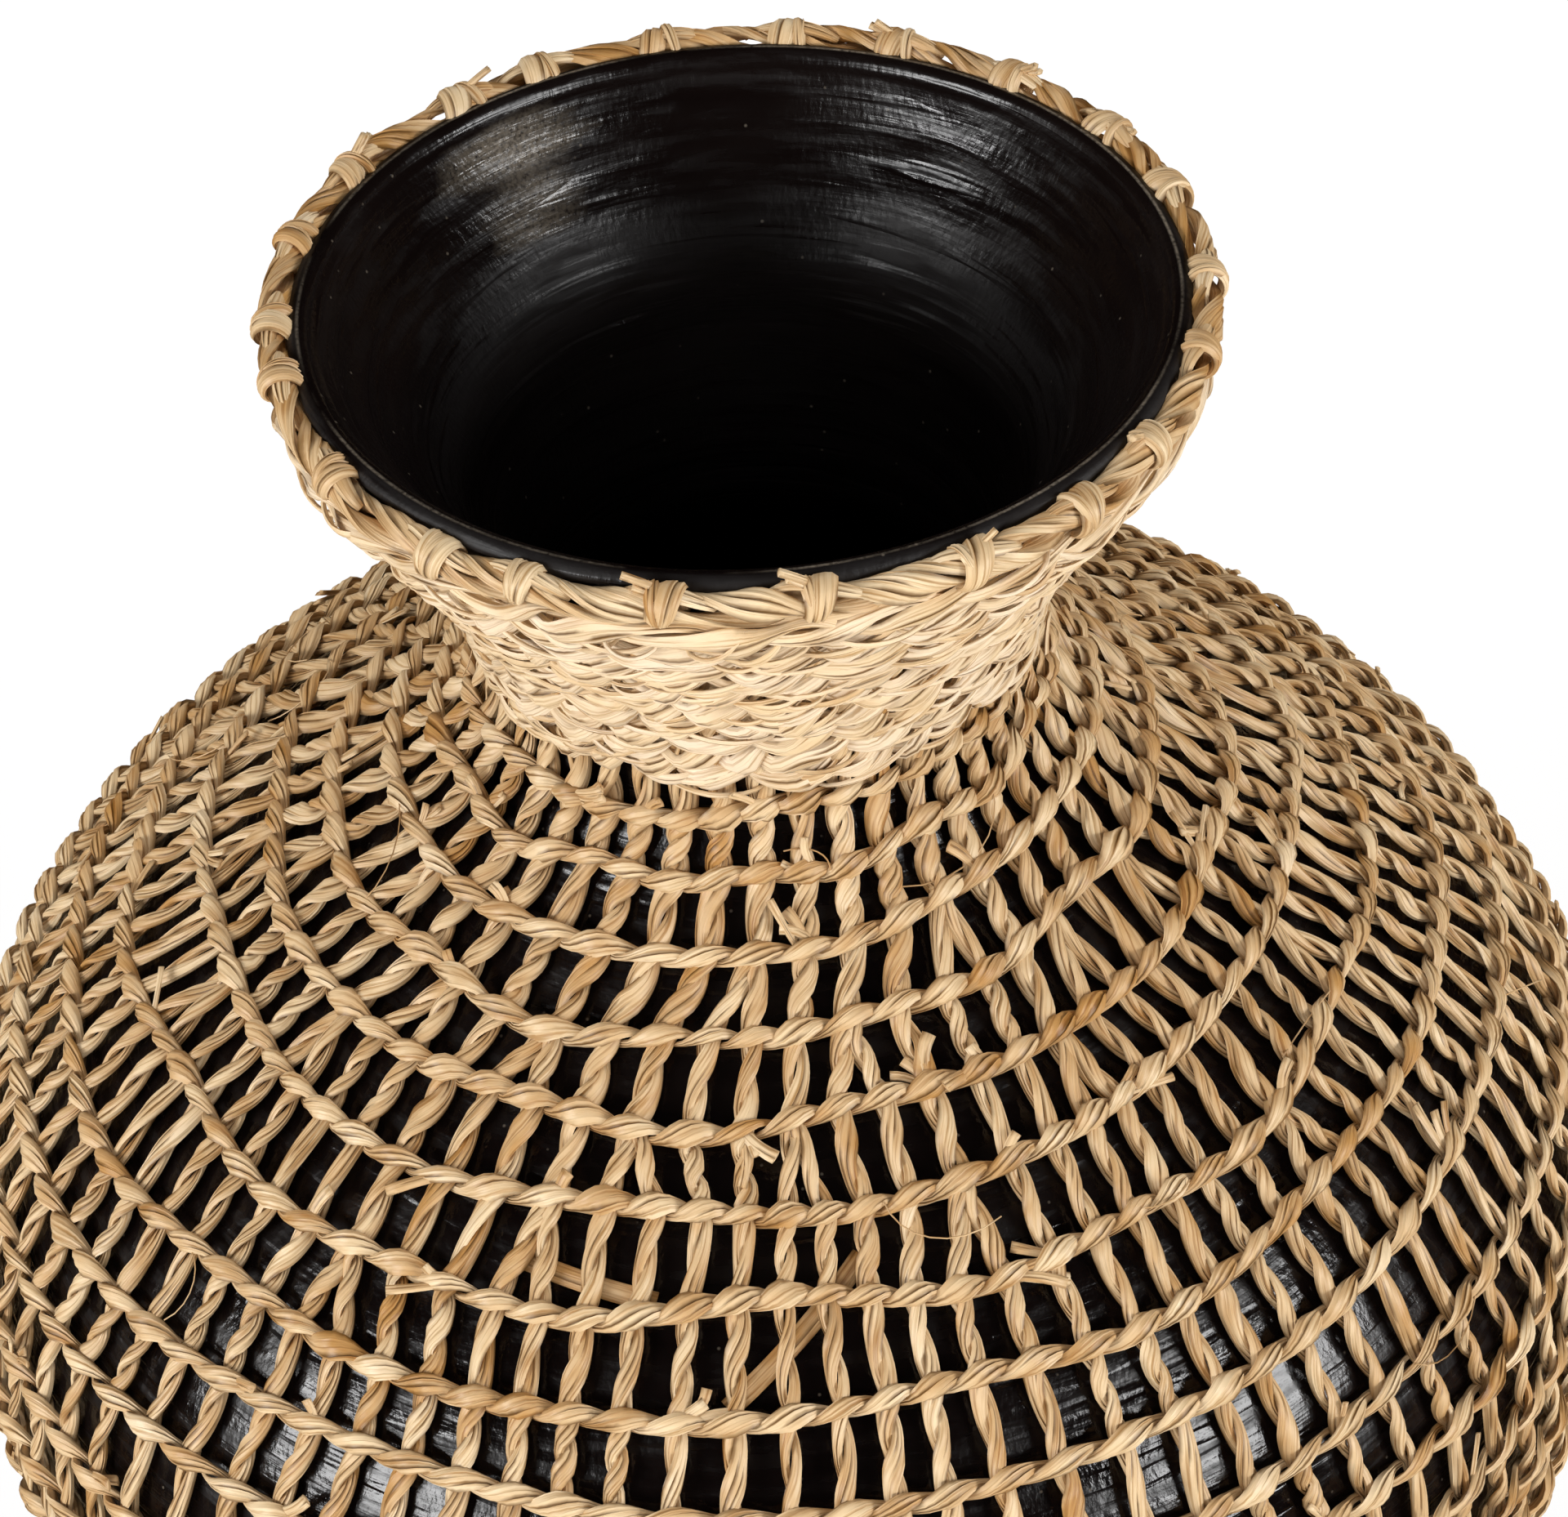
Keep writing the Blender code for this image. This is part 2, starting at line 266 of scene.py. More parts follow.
# %% Lamps: turn from the front and rise in degrees, size in metres, power, and if the gloss shows them
LAMPS = {
    "lamp_left": (-58, 14, (0.9, 0.48), 20.0, True),
    "lamp_right": (58, 14, (0.9, 0.48), 18.5, True),
    "lamp_above": (0, 76, (0.9, 0.9), 5.0, False),
    "lamp_front": (0, 20, (1.2, 0.6), 6.2, False),
    "lamp_behind": (180, 30, (1.6, 0.9), 13.0, False),
}
LAMP_AWAY = 1.6
LAMP_AIM = Vector((0, 0, 200.0)) * MM

for name, (turn, rise, size, power, in_gloss) in LAMPS.items():
    turn, rise = math.radians(turn), math.radians(rise)
    way = Vector((math.sin(turn) * math.cos(rise), -math.cos(turn) * math.cos(rise), math.sin(rise)))
    lamp = bpy.data.lights.new(name, "AREA")
    lamp.shape = "RECTANGLE"
    lamp.size, lamp.size_y = size
    lamp.energy = power
    stand = bpy.data.objects.new(name, lamp)
    stand.location = LAMP_AIM + way * LAMP_AWAY
    stand.rotation_euler = (-way).to_track_quat("-Z", "Y").to_euler()
    stand.visible_glossy = in_gloss
    bpy.context.scene.collection.objects.link(stand)

# %% World
WORLD_STRENGTH = 0.10

world = bpy.data.worlds.new("studio")
world.use_nodes = True
background = world.node_tree.nodes["Background"]
background.inputs["Color"].default_value = WHITE
seen = add_node(world, "ShaderNodeLightPath").outputs["Is Camera Ray"]
strength = add_node(world, "ShaderNodeMapRange", {"Value": seen, "To Min": WORLD_STRENGTH, "To Max": 1.0})
world.node_tree.links.new(strength.outputs["Result"], background.inputs["Strength"])
world.cycles_visibility.glossy = False
bpy.context.scene.world = world
bpy.context.scene.view_settings.view_transform = "Standard"
print("light of the room:", WORLD_STRENGTH)

# %% [markdown]
# ## Burnished black clay
# The clay was thrown on a wheel, rubbed with a stone when leather hard and blackened in the fire. That
# gives a dark brown-black whose gloss comes and goes in level bands, and in fine streaks that the stone
# missed. Level lines and gouges from the wheel, upright ripples from the rubbing and soft swells bend
# the highlights. Pale specks, one dusty patch inside the mouth and a scuffed crest of the lip break the
# black. Deep inside, where no hand with a stone can reach, and outside under the rope, the clay is
# duller. All of this could be painted on a picture. Noise is enough, stretched round the pot or up it.
# Real grit is finer than the 0.6 mm that is drawn here, and wouldn't show.

# %% Clay patterns: spacing in mm upwards, how many times longer they are round the pot, and detail
CLAY_PATTERNS = {
    "lines": (1.1, 24.0, 4.0),
    "gouges": (3.2, 14.0, 2.0),
    "ripples": (9.0, 0.13, 3.0),
    "swells": (16.0, 1.0, 2.0),
    "bands": (6.0, 6.0, 4.0),
    "missed": (2.0, 7.0, 4.0),
    "grit": (0.6, 1.0, 2.0),
}
GOUGE_EDGE = (0.56, 0.64)
CREST_WIDTH = 0.05
SPECK_SPACING = 5.0
SPECK_SHARE = 0.07
SPECK_COVER = 0.8

clay = new_material("burnished_black_clay")
place = add_node(clay, "ShaderNodeTexCoord").outputs["Object"]
noise = {}
for name, (spacing, stretch, detail) in CLAY_PATTERNS.items():
    fine = 1 / (spacing * MM)
    spread = add_node(
        clay, "ShaderNodeMapping", {"Vector": place, "Scale": (fine / stretch, fine / stretch, fine)}
    )
    noise[name] = add_node(clay, "ShaderNodeTexNoise", {"Vector": spread, "Scale": 1.0, "Detail": detail})
gouges = add_node(clay, "ShaderNodeMapRange", enumerate((noise["gouges"], *GOUGE_EDGE, 1, 0)))
height = add_node(clay, "ShaderNodeSeparateXYZ", {0: place}).outputs["Z"]
crest = add_node(
    clay, "ShaderNodeMapRange", enumerate((height, (POT_HEIGHT - CREST_WIDTH) * MM, POT_HEIGHT * MM))
)
specks = add_node(clay, "ShaderNodeTexVoronoi", {"Vector": place, "Scale": 1 / (SPECK_SPACING * MM)})
specks = add_node(clay, "ShaderNodeMapRange", enumerate((specks, SPECK_SHARE, 0.0, 0.0, SPECK_COVER)))
print("patterns in the clay:", len(clay.node_tree.nodes), "nodes")

# %% Clay colour
CLAY_DARK = "#070404"
CLAY_BROWN = "#150E0C"
CLAY_DUST = "#746A5D"
CLAY_SCUFF = "#857969"
DUST_AT = 11.0
DUST_AROUND = math.radians(-146)
DUST_REACH = 14.0
DUST_RAGGED = 36.0
GRAIN_EDGE = (0.2, 0.6)
WORN_EDGE = (0.40, 0.60)

dust_place = tuple(on_wall(DUST_AT, DUST_AROUND, -WALL_THICKNESS))
away = add_node(clay, "ShaderNodeVectorMath", {0: place, 1: dust_place}, operation="DISTANCE")
away = add_node(
    clay,
    "ShaderNodeMath",
    {0: noise["bands"], 1: DUST_RAGGED * MM, 2: away.outputs["Value"]},
    operation="MULTIPLY_ADD",
)
dust_edge = (DUST_REACH + DUST_RAGGED / 2) * MM
dust = add_node(clay, "ShaderNodeMapRange", enumerate((away, dust_edge, DUST_RAGGED / 2 * MM)))
grain = add_node(clay, "ShaderNodeMapRange", enumerate((noise["grit"], *GRAIN_EDGE)))
dust = add_node(clay, "ShaderNodeMath", {0: dust, 1: grain}, operation="MULTIPLY")
worn = add_node(clay, "ShaderNodeMapRange", enumerate((noise["bands"], *WORN_EDGE)))
worn = add_node(clay, "ShaderNodeMath", {0: worn, 1: grain}, operation="MULTIPLY")
scuff = add_node(clay, "ShaderNodeMath", {0: crest, 1: worn}, operation="MULTIPLY")
dust = add_node(clay, "ShaderNodeMath", {0: dust, 1: specks}, operation="MAXIMUM")
colour = linear(CLAY_DARK)
for share, tone in ((noise["bands"], CLAY_BROWN), (dust, CLAY_DUST), (scuff, CLAY_SCUFF)):
    mix = {MIX_SHARE: share, MIX_FIRST: colour, MIX_SECOND: linear(tone)}
    colour = add_node(clay, "ShaderNodeMix", mix, data_type="RGBA")
print("dusty patch at:", [round(c, 3) for c in dust_place])

# %% Clay gloss and relief
BAND_EDGE = (0.3, 0.7)
BAND_ROUGHNESS = (0.10, 0.27)
MISSED_EDGE = (0.47, 0.62)
MISSED_ROUGHNESS = 0.16
STREAK_EDGE = (0.54, 0.66)
STREAK_DULLNESS = 0.3
DULL_ROUGHNESS = 0.78
SWELL_RELIEF = 0.45
RIPPLE_RELIEF = 0.16
LINE_RELIEF = 0.15
FINE_STRENGTH = 0.8
CLAY_IOR = 1.5

gloss = add_node(clay, "ShaderNodeMapRange", enumerate((noise["bands"], *BAND_EDGE, *BAND_ROUGHNESS)))
missed = add_node(
    clay, "ShaderNodeMapRange", enumerate((noise["missed"], *MISSED_EDGE, 0.0, MISSED_ROUGHNESS))
)
gloss = add_node(clay, "ShaderNodeMath", {0: gloss, 1: missed})
dull = add_node(clay, "ShaderNodeAttribute", attribute_name="dullness").outputs["Fac"]
streaks = add_node(
    clay, "ShaderNodeMapRange", enumerate((noise["lines"], *STREAK_EDGE, 1.0, STREAK_DULLNESS))
)
dull = add_node(clay, "ShaderNodeMath", {0: dull, 1: streaks}, operation="MULTIPLY")
gloss = add_node(clay, "ShaderNodeMath", {0: dull, 1: DULL_ROUGHNESS, 2: gloss}, operation="MULTIPLY_ADD")
cuts = add_node(clay, "ShaderNodeMath", {0: noise["lines"], 1: gouges})
bump = add_node(
    clay, "ShaderNodeBump", {"Height": noise["swells"], "Strength": 1.0, "Distance": SWELL_RELIEF * MM}
)
for ridges, relief in ((noise["ripples"], RIPPLE_RELIEF), (cuts, LINE_RELIEF)):
    steepness = {"Height": ridges, "Strength": FINE_STRENGTH, "Distance": relief * MM, "Normal": bump}
    bump = add_node(clay, "ShaderNodeBump", steepness)
finish = {"Base Color": colour, "Roughness": gloss, "IOR": CLAY_IOR, "Normal": bump}
shader = add_node(clay, "ShaderNodeBsdfPrincipled", finish)
add_node(clay, "ShaderNodeOutputMaterial", {"Surface": shader})
print("material:", clay.name)

# %% [markdown]
# ## The pot
# A pot is turned, so its cross-section could be drawn once and spun round. That is done here: one point
# is pulled along the section from the middle of the foot, up the outside, over the lip and down the
# inside to the middle of the floor. Soft level ridges from the thrower's fingers are part of the
# section. Then the section is spun.

# %% The clay section
POT_SEGMENTS = 192
LIP_STEPS = 12
RIDGE_HEIGHT = 0.07
RIDGE_SPACING = 6.5
SECOND_RIDGE_HEIGHT = 0.7
SECOND_RIDGE_SPACING = 1.63
SECOND_RIDGE_START = 1
RIDGE_CALM = 8.0
FLOOR_ROUNDING = 4.0


def finger_ridges(line):
    """Level ridges that a thrower's fingers leave, fading out at the lip and the foot."""
    height = line[:, 1]
    second = math.tau * height / (SECOND_RIDGE_SPACING * RIDGE_SPACING) + SECOND_RIDGE_START
    wave = np.sin(math.tau * height / RIDGE_SPACING) + SECOND_RIDGE_HEIGHT * np.sin(second)
    calm = np.clip(height / RIDGE_CALM, 0, 1) * np.clip((WALL[0, 1] - height) / RIDGE_CALM, 0, 1)
    return RIDGE_HEIGHT * (wave * calm)[:, None]


def clay_section():
    """The cut through the clay, from the middle of the foot over the lip to the middle of the floor."""
    outside = (WALL + WALL_OUT * finger_ridges(WALL))[::-1]
    thinning = np.clip(WALL_AT / LIP_FLARE_REACH, 0, 1)[:, None]
    thickness = LIP_THICKNESS + (WALL_THICKNESS - LIP_THICKNESS) * thinning
    inside = WALL - WALL_OUT * (thickness + finger_ridges(WALL))
    inside = inside[(inside[:, 1] > FLOOR_THICKNESS + FLOOR_ROUNDING) & (inside[:, 1] < WALL[0, 1])]
    turns = math.pi * np.arange(1, LIP_STEPS + 1) / LIP_STEPS
    rounding = LIP_THICKNESS / 2 * np.stack([np.cos(turns), np.sin(turns)], axis=1)
    lip = np.array([MOUTH_RADIUS, WALL[0, 1]]) + rounding
    floor_edge = (inside[-1, 0] - FLOOR_ROUNDING, FLOOR_THICKNESS)
    return np.vstack([[(0, 0)], outside, lip, inside, [floor_edge, (0, FLOOR_THICKNESS)]]) * MM


section = clay_section()
print("points in the clay section:", len(section))

# %% Spin the section
MERGE_DISTANCE = 0.01

bpy.ops.object.select_all(action="DESELECT")
bpy.ops.mesh.primitive_plane_add(size=MM)
pot = bpy.context.object
pot.name = "turned_pot"
bpy.ops.object.mode_set(mode="EDIT")
bpy.ops.mesh.merge(type="CENTER")
for step in np.diff(section, axis=0):
    move = {"value": (float(step[0]), 0.0, float(step[1]))}
    bpy.ops.mesh.extrude_vertices_move(TRANSFORM_OT_translate=move)
bpy.ops.mesh.select_all(action="SELECT")
bpy.ops.mesh.spin(steps=POT_SEGMENTS, angle=math.tau, center=(0, 0, 0), axis=(0, 0, 1))
bpy.ops.mesh.select_all(action="SELECT")
bpy.ops.mesh.remove_doubles(threshold=MERGE_DISTANCE * MM)
bpy.ops.mesh.normals_make_consistent(inside=False)
bpy.ops.object.mode_set(mode="OBJECT")
bpy.ops.object.shade_smooth()
pot.data.materials.append(clay)
print("pot faces:", len(pot.data.polygons))

# %% The dull clay deep inside and under the rope
BURNISH_END = 17.0
DULL_FROM = 36.0
ROPE_RUB_DEPTH = 12.0
ROPE_RUB = 0.5

corners = np.empty(3 * len(pot.data.vertices))
pot.data.vertices.foreach_get("co", corners)
across, away, height = corners.reshape(-1, 3).T / MM
outer_radius = np.interp(height, WALL[::-1, 1], WALL[::-1, 0])
radius = np.hypot(across, away)
inside = radius < outer_radius - LIP_THICKNESS / 2
dullness = inside * np.clip((POT_HEIGHT - height - BURNISH_END) / (DULL_FROM - BURNISH_END), 0, 1)
rubbed = (radius > MOUTH_RADIUS) & ~inside & (height > POT_HEIGHT - ROPE_RUB_DEPTH)
dullness = np.maximum(dullness, ROPE_RUB * rubbed)
dull_layer = pot.data.attributes.new("dullness", "FLOAT", "POINT")
dull_layer.data.foreach_set("value", dullness.astype(np.float32))
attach(pot, "root")
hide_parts("clay_pot")
print("points in the dull part:", int((dullness > 0).sum()))

# %% [markdown]
# ## Dried seagrass
# Each strand is a folded blade of dried seagrass. It is straw-coloured and satin, with fine fibres along
# it, brown creases where it folds, and stretches that the sun bleached or that dried tan. The creases and
# the edges of each leaf also carry painted shade, darker than the folds' own brown. The fibres run along
# the strand, so the pattern reads the strand's own map, which is in millimetres along and around it. Real
# fibres are about 0.1 mm wide. They are drawn four times as wide, so that they show. Two values ride on
# each point: the tint of its strand, from bleached at -1 to tan at 1, and how deep in a crease it lies,
# which paints its brown and its shade.

# %% Seagrass material. A pattern has its length and its width in mm, and its detail
GRASS_PATTERNS = {"fibres": (16.0, 0.42, 3.0), "blotches": (9.0, 3.0, 2.0)}
STRAW_BLEACHED = "#ECD7BA"
STRAW_PALE = "#E5CAA1"
STRAW_TAN = "#BC8D52"
CREASE_SHADE_BROWN = "#63400F"
STREAK_BROWN = "#C8B292"
BLOTCH_STRENGTH = 1.8
FIBRE_STREAK = (0.52, 0.32)
CREASE_SHADE_EDGE = (0.36, 0.92)
CREASE_SHADE_COVER = 0.92
FIBRE_STRENGTH = 0.7
FIBRE_RELIEF = 0.3
STRAW_ROUGHNESS = 0.42
STRAW_IOR = 1.45

grass = new_material("dried_seagrass")
chart = add_node(grass, "ShaderNodeTexCoord").outputs["UV"]
tint = add_node(grass, "ShaderNodeAttribute", attribute_name="tint").outputs["Fac"]
crease_brown_and_shade = add_node(grass, "ShaderNodeAttribute", attribute_name="crease_brown_and_shade").outputs["Fac"]
for name, (length, width, detail) in GRASS_PATTERNS.items():
    spread = add_node(grass, "ShaderNodeMapping", {"Vector": chart, "Scale": (1 / length, 1 / width, 1)})
    noise[name] = add_node(grass, "ShaderNodeTexNoise", {"Vector": spread, "Scale": 1.0, "Detail": detail})
blotchy = {0: noise["blotches"], 1: BLOTCH_STRENGTH, 2: -BLOTCH_STRENGTH / 2}
tone = add_node(grass, "ShaderNodeMath", blotchy, operation="MULTIPLY_ADD")
tone = add_node(grass, "ShaderNodeMath", {0: tone, 1: tint})
tanned = add_node(grass, "ShaderNodeMapRange", enumerate((tone, 0, 1)))
bleached = add_node(grass, "ShaderNodeMapRange", enumerate((tone, 0, -1)))
streak = add_node(grass, "ShaderNodeMapRange", enumerate((noise["fibres"], *FIBRE_STREAK)))
# Folds and leaf edges are painted brown: partly the blade's own fold lines, partly painted shade where they
# would lie in shadow.
fold = add_node(grass, "ShaderNodeMapRange", enumerate((crease_brown_and_shade, *CREASE_SHADE_EDGE, 0, CREASE_SHADE_COVER)))
straw = linear(STRAW_PALE)
for share, shade, blend in (
    (tanned, STRAW_TAN, "MIX"),
    (bleached, STRAW_BLEACHED, "MIX"),
    (streak, STREAK_BROWN, "MULTIPLY"),
    (fold, CREASE_SHADE_BROWN, "MIX"),
):
    mix = {MIX_SHARE: share, MIX_FIRST: straw, MIX_SECOND: linear(shade)}
    straw = add_node(grass, "ShaderNodeMix", mix, data_type="RGBA", blend_type=blend)
grooves = {"Height": noise["fibres"], "Strength": FIBRE_STRENGTH, "Distance": FIBRE_RELIEF * MM}
bump = add_node(grass, "ShaderNodeBump", grooves)
finish = {"Base Color": straw, "Roughness": STRAW_ROUGHNESS, "IOR": STRAW_IOR, "Normal": bump}
shader = add_node(grass, "ShaderNodeBsdfPrincipled", finish)
add_node(grass, "ShaderNodeOutputMaterial", {"Surface": shader})
print("material:", grass.name)

# %% [markdown]
# ## How a strand is made
# A cord could be a curve with a round bevel, but seagrass is a flat leaf, folded and creased. Each
# strand here is a thin lens-shaped section with sharp edges and one or two folds on its upper side,
# drawn along the strand's way. It grows wide where it shows and narrow where it dives, and its folds
# wander from side to side.

# %% Sections of a leaf, each point as across, above, depth of crease and how freely it wanders
# The crease column also paints colour: edges and folds are darkened brown, partly their own colour and
# partly painted shade.
RIBBON = (
    (1.0, 0.0, 0.7, 0.0),
    (0.26, 0.95, 0.0, 1.0),
    (0.19, 0.62, 0.9, 1.0),
    (-0.38, 1.0, 0.0, 0.6),
    (-1.0, 0.0, 0.7, 0.0),
    (-0.45, -0.8, 0.0, 0.0),
    (0.45, -0.8, 0.0, 0.0),
)
FOLDED_LEAF = (
    (1.0, -0.1, 0.9, 0.0),
    (0.52, 0.85, 0.0, 1.0),
    (0.45, 0.55, 1.0, 1.0),
    (-0.14, 1.0, 0.0, 1.0),
    (-0.21, 0.68, 1.0, 1.0),
    (-0.62, 0.80, 0.0, 0.5),
    (-1.0, -0.1, 0.9, 0.0),
    (-0.40, -0.85, 0.0, 0.0),
    (0.40, -0.85, 0.0, 0.0),
)
UNDERSIDE = -0.5
FOLD_DEPTH = 0.3
FOLD_RUN = 22.0
FOLD_RUN_SPREAD = (0.6, 1.5)
FOLD_OPEN = 0.55
FOLD_CHANGE = 0.8
CHART_SPREAD = 500
SEED = 11
chance = np.random.RandomState(SEED)
print("points in the sections:", [len(section) for section in (RIBBON, FOLDED_LEAF)])


# %% A leaf of seagrass
def unit(vectors):
    return vectors / np.linalg.norm(vectors, axis=-1, keepdims=True)


def leaf(points, out, half_width, half_depth, drift, tint, section=FOLDED_LEAF, closed=False):
    """One strand as points, faces and their map. Lengths are in millimetres, points in metres."""
    to_side, upward, creases, freedom = np.array(section).T
    count, sides = len(points), len(section)
    if closed:
        along = unit(np.roll(points, -1, axis=0) - np.roll(points, 1, axis=0))
    else:
        along = unit(np.gradient(points, axis=0))
    across = unit(np.cross(along, out))
    above = np.cross(across, along)
    steps = np.linalg.norm(np.diff(points, axis=0, append=points[:1]), axis=1) / MM
    runs = np.maximum(1, np.round(steps[:-1].sum() / FOLD_RUN * chance.uniform(*FOLD_RUN_SPREAD, sides)))
    wave = np.sin(math.tau * runs * np.arange(count)[:, None] / count + chance.uniform(0, math.tau, sides))
    folded = creases * np.clip(FOLD_OPEN + FOLD_CHANGE * wave, 0, 1)
    shift = np.broadcast_to(drift, count)[:, None] * freedom
    wide = np.broadcast_to(half_width, count)[:, None] * (to_side + shift) * MM
    level = upward + FOLD_DEPTH * (creases - folded) * freedom
    deep = np.broadcast_to(half_depth, count)[:, None] * level * MM
    skin = points[:, None] + wide[..., None] * across[:, None] + deep[..., None] * above[:, None]
    rows = np.arange(count if closed else count - 1)
    near = (rows[:, None] * sides + np.arange(sides)).ravel()
    turned = (rows[:, None] * sides + (np.arange(sides) + 1) % sides).ravel()
    faces = np.stack([near, near + sides, turned + sides, turned], axis=1) % (count * sides)
    travelled = np.concatenate([[0], np.cumsum(steps)])
    outline = np.stack([to_side * np.mean(half_width), upward * np.mean(half_depth)], axis=1)
    edges = np.linalg.norm(np.roll(outline, -1, axis=0) - outline, axis=1)
    girth = np.concatenate([[0], np.cumsum(edges)])
    u_near, u_far = np.repeat(travelled[rows], sides), np.repeat(travelled[rows + 1], sides)
    v_near, v_far = np.tile(girth[:-1], len(rows)), np.tile(girth[1:], len(rows))
    chart = np.stack([u_near, v_near, u_far, v_near, u_far, v_far, u_near, v_far], axis=1)
    return {
        "points": skin.reshape(-1, 3),
        "faces": faces,
        "chart": chart.reshape(-1, 2) + chance.uniform(0, CHART_SPREAD, 2),
        "tint": np.repeat(np.broadcast_to(tint, count), sides),
        "crease_brown_and_shade": folded.ravel(),
        "fold": np.tile(np.where(upward > UNDERSIDE, np.arange(sides), -1), count),
        "ends": [] if closed else [np.arange(sides), (count - 1) * sides + np.arange(sides)[::-1]],
    }


print("corners of a folded leaf:", len(FOLDED_LEAF))


# %% Strands joined into one piece
def make_piece(name, strands, node):
    """Joins strands into one object that stands for a solid of the frame. Folds are shaded sharp."""
    starts = np.cumsum([0] + [len(s["points"]) for s in strands])
    faces = [face for s, start in zip(strands, starts) for face in (s["faces"] + start).tolist()]
    ends = [(end + start).tolist() for s, start in zip(strands, starts) for end in s["ends"]]
    mesh = bpy.data.meshes.new(name)
    mesh.from_pydata(np.vstack([s["points"] for s in strands]), [], faces + ends)
    end_chart = np.zeros((sum(len(end) for end in ends), 2))
    chart = np.vstack([s["chart"] for s in strands] + [end_chart])
    mesh.uv_layers.new(name="strand_map").uv.foreach_set("vector", chart.ravel().astype(np.float32))
    for key in ("tint", "crease_brown_and_shade"):
        values = np.concatenate([s[key] for s in strands]).astype(np.float32)
        mesh.attributes.new(key, "FLOAT", "POINT").data.foreach_set("value", values)
    edge_points = np.empty(2 * len(mesh.edges), dtype=np.int32)
    mesh.edges.foreach_get("vertices", edge_points)
    near, far = np.concatenate([s["fold"] for s in strands])[edge_points.reshape(-1, 2)].T
    mesh.shade_smooth()
    sharp = mesh.attributes.new("sharp_edge", "BOOLEAN", "EDGE")
    sharp.data.foreach_set("value", (near == far) & (near >= 0))
    mesh.materials.append(grass)
    piece = bpy.data.objects.new(name, mesh)
    bpy.context.scene.collection.objects.link(piece)
    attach(piece, "root")
    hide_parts(node)
    return piece


def wander_round(size, waves=(1, 2, 3, 5, 7, 11)):
    """A smooth random curve round the pot, as a function of the angle. Its waves are counted per round."""
    sizes = chance.normal(0, 1, len(waves)) * size / math.sqrt(len(waves))
    starts = chance.uniform(0, math.tau, len(waves))
    return lambda around: sum(
        a * np.sin(w * np.asarray(around) + b) for a, w, b in zip(sizes, waves, starts)
    )


print("a wander at the front:", wander_round(1.0)(0.0).round(2))

# %% [markdown]
# ## The layout of the net
# Before any cord is laid, the crossings of stakes and rings are worked out, because both kinds of cord
# need them. A real net is knotted by hand: its rings sag to the left and wander, and its stakes lean and
# aren't evenly spaced. The wander and the uneven spacing are seeded chance, so that the net comes out
# the same each time.

# %% Rings and collar rows along the wall
NET_RINGS = 22
COLLAR_ROWS = 12
STAKES = 44
FIRST_RING_BELOW_WAIST = 5.0
LAST_RING_ABOVE_FOOT = 13.0
NECK_RING_STEP = 11.5
RING_STEP_GROWTH = 1.0
BODY_RING_STEP = 15.3
RING_TILT = 5.0
RING_WANDER = 1.7
CALM_NEAR_FOOT = 60.0
LEAST_CALM = 0.15
COLLAR_TOP = 5.0
COLLAR_END_ABOVE_WAIST = 3.0

shares = np.minimum(NECK_RING_STEP + RING_STEP_GROWTH * np.arange(NET_RINGS - 1), BODY_RING_STEP)
shares = np.concatenate([[0], np.cumsum(shares)]) / shares.sum()
first_ring = WAIST_AT + FIRST_RING_BELOW_WAIST
RING_AT = first_ring + (WALL_LENGTH - LAST_RING_ABOVE_FOOT - first_ring) * shares
COLLAR_STEP = (WAIST_AT - COLLAR_END_ABOVE_WAIST - COLLAR_TOP) / COLLAR_ROWS
COLLAR_AT = COLLAR_TOP + COLLAR_STEP * (np.arange(COLLAR_ROWS) + 0.5)
ring_wanders = [wander_round(RING_WANDER) for _ in range(NET_RINGS)]


def ring_along(index, around):
    """Where a ring runs at an angle: level in the frame, with the tilt and wander of a hand-tied net."""
    calm = np.clip((WALL_LENGTH - RING_AT[index]) / CALM_NEAR_FOOT, LEAST_CALM, 1)
    return RING_AT[index] + calm * (ring_wanders[index](around) - RING_TILT * np.sin(around))


print("rings along the wall:", RING_AT.round(1))

# %% Stakes: where each one crosses each ring
STAKE_SPACING = math.tau / STAKES
LEG_SPACING = STAKE_SPACING / 2
FORK_PATTERN = (2, 4, 3, 5, 2, 4, 3, 6, 3, 5, 4)
REJOIN_RINGS = (18, 19)
LEAN = math.radians(6.0)
LEAN_FROM = 75.0
LEAN_TO = 128.0
STAKE_JITTER = 0.10
LEG_JITTER = 0.20
EVENING_STEPS = 4

fork_of = np.tile(FORK_PATTERN, STAKES // len(FORK_PATTERN))
rejoin_of = np.tile(REJOIN_RINGS, STAKES // 2)
stake_shift = chance.normal(0, STAKE_JITTER, STAKES) * STAKE_SPACING
leg_shift = chance.normal(0, LEG_JITTER, (NET_RINGS, STAKES, 2)) * LEG_SPACING


def lean_at(along):
    share = np.clip((along - LEAN_FROM) / (LEAN_TO - LEAN_FROM), 0, 1)
    return LEAN * (0.5 - share * share * (3 - 2 * share))


def stake_angle(stake):
    """Stakes stand half a spacing either side of a pair's middle, counted from the right-hand side."""
    return math.pi / 2 + (stake - 0.5) * STAKE_SPACING + stake_shift[stake]


